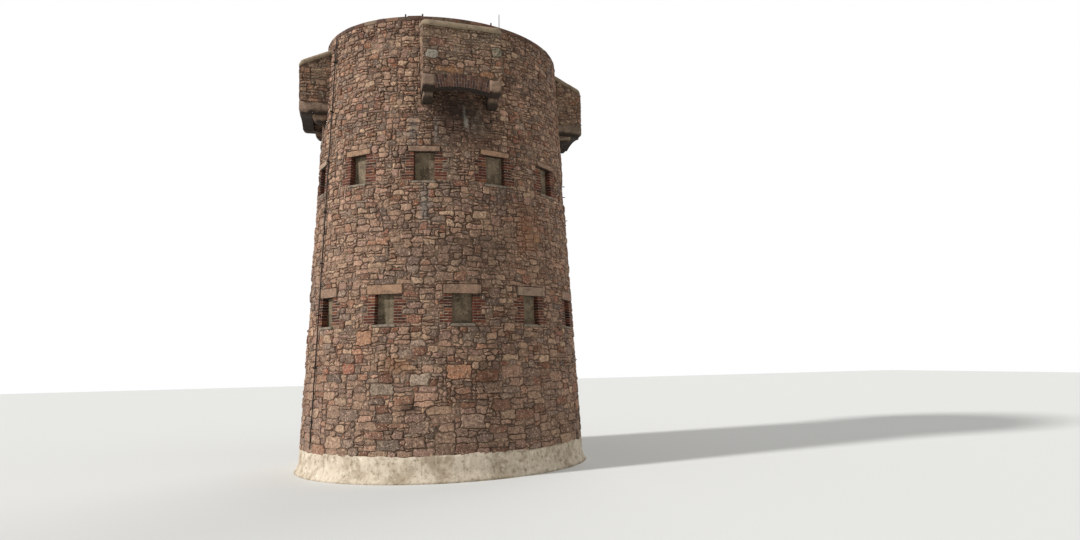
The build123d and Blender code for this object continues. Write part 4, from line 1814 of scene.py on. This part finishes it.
@dataclass
class Machicolations:
    """The four boxes: rubble on three faces, beams, corbels, brick arches and sloping caps."""

    sizes: TowerSizes
    corner_lap: float = 0.02
    stone_width: float = 0.098
    stone_course: float = 0.08
    stone_proud: Point = (0.010, 0.024)
    voussoirs: int = 21
    arch_bed: float = 0.011
    arch_gap: float = 0.003
    arch_proud: float = 0.006
    beam_tail: float = 0.30
    beam_nose: float = 0.10
    beam_width: float = 0.305
    corbel_tail: float = 0.15
    corbel_width: float = 0.24
    cap_lip: float = 0.03
    cap_corner: float = 0.16
    cap_edge: float = 0.12
    cap_drop: float = 0.075
    cap_cells: tuple[int, int] = (30, 16)
    seed: int = SEED + 3

    def faces(self, side: str) -> list[BoxFace]:
        """The front and side faces of one box.

        Args:
            side: The machicolation's side.
        Returns:
            The faces.
        """
        s = self.sizes
        half, lap, depth = s.box_half, self.corner_lap, s.box_face - s.box_tail
        return [
            BoxFace(s, side, "face", (-half - lap, -s.box_face, 0), (1, 0, 0), (0, -1, 0),
                    2 * half + 2 * lap),
            BoxFace(s, side, "right", (half, -s.box_face, 0), (0, 1, 0), (1, 0, 0), depth),
            BoxFace(s, side, "left", (-half, -s.box_tail, 0), (0, -1, 0), (-1, 0, 0), depth),
        ]

    def build_walls(self, tree: Tree, finish: Material) -> None:
        """Lay the rubble of each box, above its beams and arch and below its cap.

        Args:
            tree: The tree for flat walls.
            finish: The stones' material.
        """
        for number, (side, bearing) in enumerate(BOX_BEARINGS.items()):
            parts = []
            for index, face in enumerate(self.faces(side)):
                columns = max(4, round(face.width / self.stone_width))
                marks = FACE_MARKS if (side, face.name) == ("front", "face") else ()
                net = StoneNet(
                    columns, face.width / columns,
                    even_levels([self.sizes.beam_top, face.top], self.stone_course),
                    self.seed + 10 * number + index, self.stone_proud, closed=False,
                    size=Rubble.SMALL, limit=face.keeps, tint_overlay=face.weather,
                    marked=[MarkedStone(*mark) for mark in marks])
                parts += [
                    run_tree(mesh, tree, f"{name}_{side}_{face.name}", Finish=finish,
                             Corner=turned(face.corner, bearing),
                             Across=turned(face.across, bearing),
                             Outward=turned(face.outward, bearing))
                    for name, mesh in net.sheets("sheet").items()]
            seat(join(parts, f"rubble_machicolation_{side}"))

    def build_arches(self, blocks: Tree, finish: Material) -> None:
        """Set the voussoir bricks on edge, a stretcher and a header in each row by turns.

        Args:
            blocks: The tree for blocks.
            finish: The bricks' material.
        """
        s = self.sizes
        draw = random.Random(self.seed)
        batch = BlockBatch()
        count, gap, depth = self.voussoirs, self.arch_gap, s.box_wall + 0.016
        reach = math.asin(s.span_half / s.arch_radius)
        scale = (s.arch_ring + self.arch_proud) / (s.brick_length + s.brick_header + gap)
        for bearing, index in product(BOX_BEARINGS.values(), range(count)):
            angle = -reach + 2 * reach * (index + 0.5) / count
            lengths = [scale * s.brick_length, scale * s.brick_header]
            if index % 2:
                lengths.reverse()
            start = s.arch_radius - self.arch_proud
            for length in lengths:
                along = start + length / 2
                start += length + gap
                width = 2 * reach * along / count - self.arch_bed
                middle = Vector((along * math.sin(angle), -(s.box_face - s.box_wall / 2),
                                 s.arch_centre + along * math.cos(angle)))
                if abs(middle.x) > s.span_half + width:
                    continue
                turn = Euler((0, angle, 0))
                turn.rotate(Euler((0, 0, math.radians(bearing))))
                batch.add(turned(middle, bearing), turn,
                          (width, depth + draw.uniform(-0.006, 0.006), length - self.arch_bed),
                          pick_tint(draw, ARCH_TINTS, BRICK_SPREAD))
        batch.build("machicolation_arch_bricks", blocks, finish, "red_brick", **BRICK_WEAR)

    def beam_profile(self) -> list[Point]:
        """Side view of a beam, from its tail, with its lower front edge worn round."""
        s = self.sizes
        tail, front = s.radius(s.springing) - self.beam_tail, s.box_face + 0.012
        bottom, top, nose = s.springing, s.beam_top - 0.006, self.beam_nose
        low = [(tail + (front - nose - tail) * i / 6, bottom) for i in range(7)]
        high = [(front + (tail - front) * i / 7, top) for i in range(8)]
        return [*low, *round_nose(front, bottom, nose, 4)[1:],
                (front, (bottom + nose + top) / 2), *high]

    def corbel_profile(self) -> list[Point]:
        """Side view of a corbel, from its tail, with a rounded lower front."""
        s = self.sizes
        bottom, top, curve = s.springing - s.corbel_height, s.springing, s.corbel_curve
        root = math.sqrt(s.radius(bottom) ** 2 - s.span_half**2)
        tip, tail = root + s.corbel_projection, root - self.corbel_tail
        return [(tail, bottom), ((tail + tip - curve) / 2, bottom),
                *round_nose(tip, bottom, curve, 6),
                (tip, top), ((tip + tail) / 2, top), (tail, top)]

    def build_brackets(self, rough: Tree, finish: Material) -> None:
        """Make the beams and the corbels, each one stone with its own tint.

        Args:
            rough: The tree for uneven skins.
            finish: The stones' material.
        """
        draw = random.Random(self.seed + 1)
        middle = self.sizes.span_half + self.sizes.box_wall / 2
        for kind, profile, width in (("beam", self.beam_profile(), self.beam_width),
                                     ("corbel", self.corbel_profile(), self.corbel_width)):
            shapes = PrismBatch()
            for bearing, side in product(BOX_BEARINGS.values(), (-1, 1)):
                tint = pick_tint(draw, GRANITE_TINTS, BRACKET_SPREAD)
                shapes.add(profile, side * middle, width, bearing, tint)
            name = f"machicolation_{kind}_stones"
            piece = run_tree(shapes.mesh(name), rough, name, Finish=finish, Unevenness=0.018,
                             Grain=0.11)
            seat(piece, [f"machicolation_{kind}s"])

    def cap_point(self, side: str, across: float, along: float, is_top: bool) -> Vector:
        """A point of a cap, as if the cap were at the front: thinner and softer at its edges.

        Args:
            side: The machicolation's side.
            across: Share of the half width, from -1 to 1.
            along: Share of the way from the tail to the front edge.
            is_top: Whether the point lies on the top or on the underside.
        Returns:
            The point.
        """
        s = self.sizes
        front = s.box_face + self.cap_lip
        distance = s.box_tail + (front - s.box_tail) * along
        left, corner = front - distance, self.cap_corner
        half = s.box_half + self.cap_lip
        if left < corner:
            half -= corner - math.sqrt(corner**2 - (corner - left) ** 2)
        edge = min(half * (1 - abs(across)), left)
        drop = self.cap_drop * max(0.0, 1 - edge / self.cap_edge) ** 2
        down = drop if is_top else s.cap_thickness - 0.2 * drop
        return Vector((across * half, -distance, s.cap_top(side, distance) - down))

    def build_caps(self, rough: Tree, finish: Material) -> None:
        """Make the sloping caps, each a slab of two grids joined round its edge.

        Args:
            rough: The tree for uneven skins.
            finish: The caps' material.
        """
        across, along = self.cap_cells
        stride = across + 1
        rim = [*range(stride), *(row * stride + across for row in range(1, along + 1)),
               *(along * stride + column for column in reversed(range(across))),
               *(row * stride for row in reversed(range(1, along)))]
        points: list[Vector] = []
        faces: list[list[int]] = []
        for side, bearing in BOX_BEARINGS.items():
            top = len(points)
            low = top + stride * (along + 1)
            for first, is_top in ((top, True), (low, False)):
                points += [
                    turned(self.cap_point(side, 2 * column / across - 1, row / along, is_top),
                           bearing)
                    for row, column in product(range(along + 1), range(stride))]
                for row, column in product(range(along), range(across)):
                    here = first + row * stride + column
                    face = [here, here + 1, here + 1 + stride, here + stride]
                    faces.append(face if is_top else face[::-1])
            faces += [[top + after, top + here, low + here, low + after]
                      for here, after in zip(rim, rim[1:] + rim[:1])]
        mesh = named_mesh("caps", points, faces)
        face_outwards(mesh)
        piece = run_tree(mesh, rough, "machicolation_cap_slabs", Finish=finish,
                         Unevenness=0.012, Grain=0.28)
        seat(piece, ["machicolation_caps"])


@dataclass
class Doorway:
    """The raised doorway: squared stones round it and a plank door with strap hinges."""

    sizes: TowerSizes
    stone_depth: float = 0.38
    jamb_rises: tuple[float, ...] = (0.52, 0.38, 0.50, 0.45)
    jamb_proud: float = 0.012
    lintel_proud: float = 0.020
    threshold_proud: float = 0.13
    leaf_recess: float = 0.28
    leaf_thickness: float = 0.056
    plank_count: int = 5
    plank_gap: float = 0.006
    strap_inset: float = 0.35
    strap: Extent = (0.86, 0.008, 0.055)
    seed: int = SEED + 5

    def build(self, blocks: Tree, finishes: dict[str, Material]) -> None:
        """Make the stones, the planks and the straps at the door's bearing.

        Args:
            blocks: The tree for blocks.
            finishes: Materials by name.
        """
        spin = math.radians(DOOR_BEARING)
        across = Vector((math.cos(spin), math.sin(spin), 0))
        self.build_stones(blocks, finishes["granite"], spin, across)
        self.build_leaf(blocks, finishes, spin, across)

    def build_stones(self, blocks: Tree, finish: Material, spin: float, across: Vector) -> None:
        """Make the jamb stones, the lintel and the threshold.

        Args:
            blocks: The tree for blocks.
            finish: The stones' material.
            spin: The door's bearing in radians.
            across: The direction along the doorway's width.
        """
        s = self.sizes
        half, outer = s.door_width / 2, s.door_width / 2 + s.door_jamb
        wide = half + s.door_lintel_bearing
        stones = []
        for side in (-1, 1):
            low, high = sorted((side * half, side * outer))
            bottom = s.door_sill
            for rise in self.jamb_rises:
                stones.append((low, high, bottom, bottom + rise, self.jamb_proud))
                bottom += rise
        stones += [
            (-wide, wide, s.door_head, s.door_head + s.door_lintel_height, self.lintel_proud),
            (-outer, outer, s.door_sill - s.threshold_height, s.door_sill, self.threshold_proud)]
        draw = random.Random(self.seed)
        batch = BlockBatch()
        back = s.radius(s.door_sill) - self.stone_depth
        for low, high, bottom, top, proud in stones:
            middle = (bottom + top) / 2
            front = s.radius(middle) + proud
            place = around(DOOR_BEARING, (front + back) / 2, middle) + across * (low + high) / 2
            batch.add(place, (0, 0, spin), (high - low - 0.008, front - back, top - bottom - 0.012),
                      pick_tint(draw, GRANITE_TINTS, SLAB_SPREAD))
        batch.build("doorway_stones", blocks, finish, "dressed_granite",
                    ["doorway_jambs", "doorway_lintel", "doorway_threshold"], (8, 6, 7),
                    Wear=0.008, Unevenness=0.009, Grain=0.12)

    def build_leaf(self, blocks: Tree, finishes: dict[str, Material], spin: float,
                   across: Vector) -> None:
        """Make the planks and the straps of the leaf.

        Args:
            blocks: The tree for blocks.
            finishes: Materials by name.
            spin: The door's bearing in radians.
            across: The direction along the doorway's width.
        """
        s = self.sizes
        face = s.radius(s.door_head) - self.leaf_recess
        width = s.door_width / self.plank_count
        planks, straps = BlockBatch(), BlockBatch()
        for index in range(self.plank_count):
            place = around(DOOR_BEARING, face - self.leaf_thickness / 2,
                           (s.door_sill + s.door_head) / 2)
            planks.add(place + across * width * (index - self.plank_count // 2), (0, 0, spin),
                       (width - self.plank_gap, self.leaf_thickness, s.door_height))
        share, thickness, height = self.strap
        for level in (s.door_sill + self.strap_inset, s.door_head - self.strap_inset):
            straps.add(around(DOOR_BEARING, face + thickness / 2, level), (0, 0, spin),
                       (s.door_width * share, thickness, height))
        planks.build("door_planks", blocks, finishes["door"], "door_planks", ["door_leaf"],
                     (4, 2, 9), Wear=0.004, Unevenness=0.002, Grain=0.2)
        straps.build("door_straps", blocks, finishes["iron"], "rusty_iron", Wear=0.001,
                     Unevenness=0.001, Grain=0.05)


def cut_round(outline: list[Point], radius: float, sides: int = 72) -> list[Point]:
    """Cut a convex outline to a circle about the tower's axis.

    Args:
        outline: Its points.
        radius: The circle's radius.
        sides: How many straight cuts make up the circle.
    Returns:
        The points that are left, none closer than 12 mm to the next.
    """
    for step in range(sides):
        turn = math.tau * step / sides
        cosine, sine = math.cos(turn), math.sin(turn)
        kept = []
        for here, after in zip(outline, outline[1:] + outline[:1]):
            inside, inside_after = (radius - x * cosine - y * sine for x, y in (here, after))
            if inside >= 0:
                kept.append(here)
            if (inside >= 0) != (inside_after >= 0):
                share = inside / (inside - inside_after)
                kept.append((here[0] + (after[0] - here[0]) * share,
                             here[1] + (after[1] - here[1]) * share))
        outline = kept
    return [here for index, here in enumerate(outline)
            if math.dist(here, outline[index - 1]) > 0.012]


def flat_area(outline: Sequence[Point]) -> float:
    """Area inside an outline."""
    return sum(outline[i - 1][0] * y - x * outline[i - 1][1]
               for i, (x, y) in enumerate(outline)) / 2


@dataclass
class Rim:
    """The coping on the rim, the pegs below it and the flags of the platform."""

    sizes: TowerSizes
    coping_overhang: float = 0.028
    coping_joint: float = 0.016
    ring_gap: float = 0.01
    hatch_offset: float = 1.250
    row_depth: float = 0.400
    flag_joint: float = 0.007
    flag_wall_gap: float = 0.015
    least_flag: float = 0.012
    pegs: tuple[Point, ...] = ((79.0, 8.50), (80.5, 8.18), (78.0, 7.40), (81.0, 3.02))
    peg_length: float = 0.125
    peg_width: float = 0.022
    peg_seat: float = 0.03
    seed: int = SEED + 4

    def build_coping(self, blocks: Tree, finish: Material) -> None:
        """Bed thin flat stones round the rim, in two rings across its whole width.

        Args:
            blocks: The tree for blocks.
            finish: The stones' material.
        """
        s = self.sizes
        draw = random.Random(self.seed)
        batch = BlockBatch()
        outer = s.radius(s.parapet_top) + self.coping_overhang
        between = (outer + s.well_radius) / 2
        for ring_in, ring_out in ((between + self.ring_gap, outer),
                                  (s.well_radius - 0.02, between - self.ring_gap)):
            bearing = 0.0
            while bearing < 359.0:
                length = min(draw.uniform(0.20, 0.42), math.radians(360 - bearing) * ring_out)
                turn = math.degrees(length / ring_out)
                middle = bearing + turn / 2
                thick = (s.rim - s.parapet_top) * draw.uniform(0.85, 1.1)
                place = around(middle, (ring_out + ring_in) / 2 + draw.uniform(-0.008, 0.008),
                               s.parapet_top + thick / 2)
                batch.add(place, (0, 0, math.radians(middle)),
                          (length - self.coping_joint, ring_out - ring_in - 0.012, thick),
                          pick_tint(draw, COPING_TINTS, BRICK_SPREAD))
                bearing += turn
        batch.build("coping_stones", blocks, finish, "coping_stone", cuts=(5, 5, 3),
                    Wear=0.008, Unevenness=0.007, Grain=0.09)

    def build_pegs(self, finish: Material) -> None:
        """Drive a few iron pegs into the wall near its right silhouette."""
        batch = PrismBatch(slices=2)
        half = self.peg_width / 2
        for bearing, height in self.pegs:
            back = self.sizes.radius(height) - self.peg_seat
            batch.add([(back + self.peg_length * i, height + half * j)
                       for i, j in ((0, -1), (1, -1), (1, 1), (0, 1))],
                      0.0, self.peg_width, bearing)
        piece = place_object("wall_pegs", batch.mesh("wall_pegs"))
        piece.data.materials.append(finish)
        seat(piece)

    def flag_outlines(self, draw: random.Random) -> list[list[Point]]:
        """Outlines of the platform's flags, in rows, cut to the parapet and clear of the hatch.

        Args:
            draw: The source of random numbers.
        Returns:
            Counter-clockwise points of each flag, seen from above.
        """
        reach, joint = self.sizes.well_radius - self.flag_wall_gap, self.flag_joint
        near, far = self.hatch_offset - self.row_depth, self.hatch_offset + self.row_depth
        outlines = []
        rows = math.ceil(reach / self.row_depth)
        for row in range(-rows, rows):
            low = row * self.row_depth
            bottom, top = low + joint, low + self.row_depth - joint
            runs = [(-reach, near), (far, reach)] if row in (-1, 0) else [(-reach, reach)]
            for left, right in runs:
                while right - left > 0.05:
                    length = draw.uniform(0.40, 0.72)
                    length = right - left if right - left < length + 0.3 else length
                    start, end = left + joint, left + length - joint
                    left += length
                    outline = cut_round(
                        [(start, bottom), (end, bottom), (end, top), (start, top)], reach)
                    if len(outline) > 2 and flat_area(outline) > self.least_flag:
                        outlines.append(outline)
        return outlines

    def build_flags(self, tree: Tree, finish: Material) -> None:
        """Lay flagstones on the platform.

        Args:
            tree: The tree for flat walls.
            finish: The flags' material.
        """
        draw = random.Random(self.seed + 1)
        outlines = self.flag_outlines(draw)
        heights = [draw.uniform(0.013, 0.021) for _ in outlines]
        sheet = Sheet()
        for outline, height in zip(outlines, heights):
            sheet.add(outline, height, pick_tint(draw, FLAG_TINTS, SLAB_SPREAD))
        piece = run_tree(sheet.mesh("flags"), tree, "platform_flags", Finish=finish,
                         Shoulder=0.009, Unevenness=0.004, Grain=0.2,
                         Corner=Vector((0, 0, self.sizes.platform)), Across=Vector((1, 0, 0)),
                         Up=Vector((0, 1, 0)), Outward=Vector((0, 0, 1)))
        seat(piece)


@dataclass
class Plinth:
    """The limewashed render round the foot, uneven and ragged along its top."""

    sizes: TowerSizes
    skin: float = 0.030
    flare: float = 0.100
    flare_height: float = 0.26
    lip: float = 0.006
    seat_depth: float = 0.03
    steps: int = 10
    around_count: int = 420
    waves: tuple[Extent, ...] = ((0.018, 7, 1), (0.012, 23, 0), (0.008, 61, 2))

    def profile(self) -> list[Point]:
        """Radius and height of the ring's corners: up the face, over the top and down."""
        s = self.sizes
        ring = [(s.radius(0) + self.skin + self.flare, 0.0)]
        for i in range(1, self.steps + 1):
            height = s.plinth_top * i / self.steps
            swell = self.flare * max(0.0, 1 - height / self.flare_height) ** 1.5
            ring.append((s.radius(height) + self.skin + swell, height))
        ring.append((s.radius(s.plinth_top) + self.skin * 0.5, s.plinth_top + self.lip))
        return ring + [(s.radius(height) - self.seat_depth, height)
                       for height in (s.plinth_top, 0.0)]

    def build(self, rough: Tree, finish: Material) -> None:
        """Make the ring, closed at its back.

        Args:
            rough: The tree for uneven skins.
            finish: The render's material.
        """
        ring = self.profile()
        size = len(ring)
        points: list[Vector] = []
        faces: list[list[int]] = []
        for step in range(self.around_count):
            bearing = 360 * step / self.around_count
            turn = math.radians(bearing)
            ragged = sum(rise * math.sin(count * turn + shift)
                         for rise, count, shift in self.waves)
            points += [around(bearing, radius,
                              height + ragged * (height / self.sizes.plinth_top) ** 3)
                       for radius, height in ring]
            here = step * size
            after = ((step + 1) % self.around_count) * size
            faces += [[here + i, after + i, after + (i + 1) % size, here + (i + 1) % size]
                      for i in range(size)]
        mesh = named_mesh("plinth", points, faces)
        face_outwards(mesh)
        piece = run_tree(mesh, rough, "limewashed_foot", Finish=finish, Unevenness=0.016,
                         Grain=0.40)
        seat(piece, ["plinth_render"])


# Stage, light and camera


@dataclass(frozen=True)
class Viewpoint:
    """Where the photo was taken from, fitted to the tower's own outline."""

    place: Extent = (-2.6035, -23.529, 3.034)
    yaw: float = 0.3516
    pitch: float = 0.0574
    roll: float = -0.0179
    focal_pixels: float = 750.84
    shift_right_pixels: float = 90.48
    shift_down_pixels: float = 45.0
    sensor_mm: float = 36.0

    def build(self) -> None:
        """Make the camera and set it as the scene's."""
        data = bpy.data.cameras.new("viewpoint")
        data.sensor_width = self.sensor_mm
        data.lens = self.focal_pixels / PHOTO_WIDTH * self.sensor_mm
        data.shift_x = -self.shift_right_pixels / PHOTO_WIDTH
        data.shift_y = self.shift_down_pixels / PHOTO_WIDTH
        forward = Vector((math.sin(self.yaw) * math.cos(self.pitch),
                          math.cos(self.yaw) * math.cos(self.pitch), math.sin(self.pitch)))
        right = Vector((math.cos(self.yaw), -math.sin(self.yaw), 0))
        up = right.cross(forward)
        cosine, sine = math.cos(self.roll), math.sin(self.roll)
        right, up = right * cosine + up * sine, up * cosine - right * sine
        camera = place_object("viewpoint", data)
        camera.matrix_world = Matrix((*zip(right, up, -forward, self.place), (0, 0, 0, 1)))
        bpy.context.scene.camera = camera


@dataclass(frozen=True)
class Sun:
    """A sun lamp: its strength, how wide it is in the sky and its turn, both in degrees."""

    name: str
    strength: float
    width: float
    turn: Extent

    def build(self) -> None:
        """Hang the lamp in the scene."""
        lamp = bpy.data.lights.new(self.name, "SUN")
        lamp.energy = self.strength
        lamp.angle = math.radians(self.width)
        place_object(self.name, lamp).rotation_euler = [math.radians(turn) for turn in self.turn]


@dataclass(frozen=True)
class Studio:
    """A pale floor, a white background and soft lights at a plain level."""

    floor_colour: str = "#d9d9d6"
    floor_half: float = 90.0
    sky_strength: float = 0.42
    suns: tuple[Sun, ...] = (Sun("key", 3.7, 6.0, (63, 0, -82)),
                             Sun("fill", 0.3, 60.0, (60, 0, 40)),
                             Sun("back", 0.9, 50.0, (55, 0, 150)))

    def build(self) -> None:
        """Make the floor, the world and the lamps."""
        half = self.floor_half
        mesh = named_mesh("studio_floor", [(-half, -half, 0), (half, -half, 0), (half, half, 0),
                                           (-half, half, 0)], [(0, 1, 2, 3)])
        material, _, shader, _ = start_material(
            "studio_floor", Roughness=1.0, Specular_IOR_Level=0.0)
        shader.inputs["Base Color"].default_value = linear(self.floor_colour)
        mesh.materials.append(material)
        place_object("studio_floor", mesh)
        self.build_world()
        for sun in self.suns:
            sun.build()
        bpy.context.scene.view_settings.view_transform = "Standard"

    def build_world(self) -> None:
        """Make a world that is white to the camera and dimmer as a light."""
        world = bpy.data.worlds.new("studio")
        world.use_nodes = True
        tree = world.node_tree
        background = tree.nodes["Background"]
        background.inputs["Color"].default_value = WHITE
        rays = add_node(tree, "ShaderNodeLightPath").outputs
        through = add_node(tree, MATH, (rays["Is Glossy Ray"], rays["Is Transmission Ray"]),
                           operation="MAXIMUM")
        seen = add_node(tree, MATH, (rays["Is Camera Ray"], through), operation="MAXIMUM")
        strength = add_node(tree, MAP_RANGE, {
            "Value": seen, "To Min": self.sky_strength, "To Max": 1.0})
        tree.links.new(strength.outputs["Result"], background.inputs["Strength"])
        bpy.context.scene.world = world


FINISHES = {
    "rubble": GRANITE_RUBBLE, "mortar": LIME_MORTAR, "brick_mortar": BRICK_MORTAR,
    "arch_mortar": ARCH_MORTAR, "brick": HANDMADE_BRICK, "granite": DRESSED_GRANITE,
    "panel": PANEL_RENDER, "sill": SILL_CEMENT, "cap": CAP_CEMENT, "limewash": LIMEWASH,
    "coping": COPING_STONE, "flags": FLAGSTONE, "door": DOOR_OAK, "boards": FLOOR_BOARD,
    "conductor": CONDUCTOR_METAL, "iron": RIM_IRON,
}

# The CAD nodes whose finish isn't the wall's mortar, by the start of their names.
NODE_FINISHES = {
    "machicolation_brick_arches": "arch_mortar", "lower_brick_jambs": "brick_mortar",
    "upper_brick_jambs": "brick_mortar", "doorway": "granite", "door_leaf": "door",
    "lightning_conductor": "conductor", "rim_irons": "iron", "first_floor": "boards",
    "second_floor": "boards",
}


def dress_nodes(finishes: dict[str, Material]) -> None:
    """Give every CAD node its own finish."""
    for name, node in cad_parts.items():
        finish = next((key for start, key in NODE_FINISHES.items() if name.startswith(start)),
                      "mortar")
        node.data.materials.clear()
        node.data.materials.append(finishes[finish])


def main() -> None:
    """Build the camera, the studio and every piece, in order."""
    logging.basicConfig(level=logging.INFO, format="%(message)s")
    Viewpoint().build()
    Studio().build()
    sizes = read_sizes()
    finishes = {name: finish.make() for name, finish in FINISHES.items()}
    dress_nodes(finishes)
    round_tree, flat_tree = round_wall_tree(), flat_wall_tree()
    blocks, rough = block_tree(), roughen_tree()
    wall = RoundWall(sizes)
    wall.build(round_tree, finishes["rubble"])
    wall.build_inside(round_tree, finishes["rubble"])
    Loopholes(sizes).build(blocks, finishes)
    boxes = Machicolations(sizes)
    boxes.build_walls(flat_tree, finishes["rubble"])
    boxes.build_arches(blocks, finishes["brick"])
    boxes.build_brackets(rough, finishes["granite"])
    boxes.build_caps(rough, finishes["cap"])
    Doorway(sizes).build(blocks, finishes)
    rim = Rim(sizes)
    rim.build_coping(blocks, finishes["coping"])
    rim.build_flags(flat_tree, finishes["flags"])
    rim.build_pegs(finishes["iron"])
    Plinth(sizes).build(rough, finishes["limewash"])


if __name__ == "__main__":
    main()
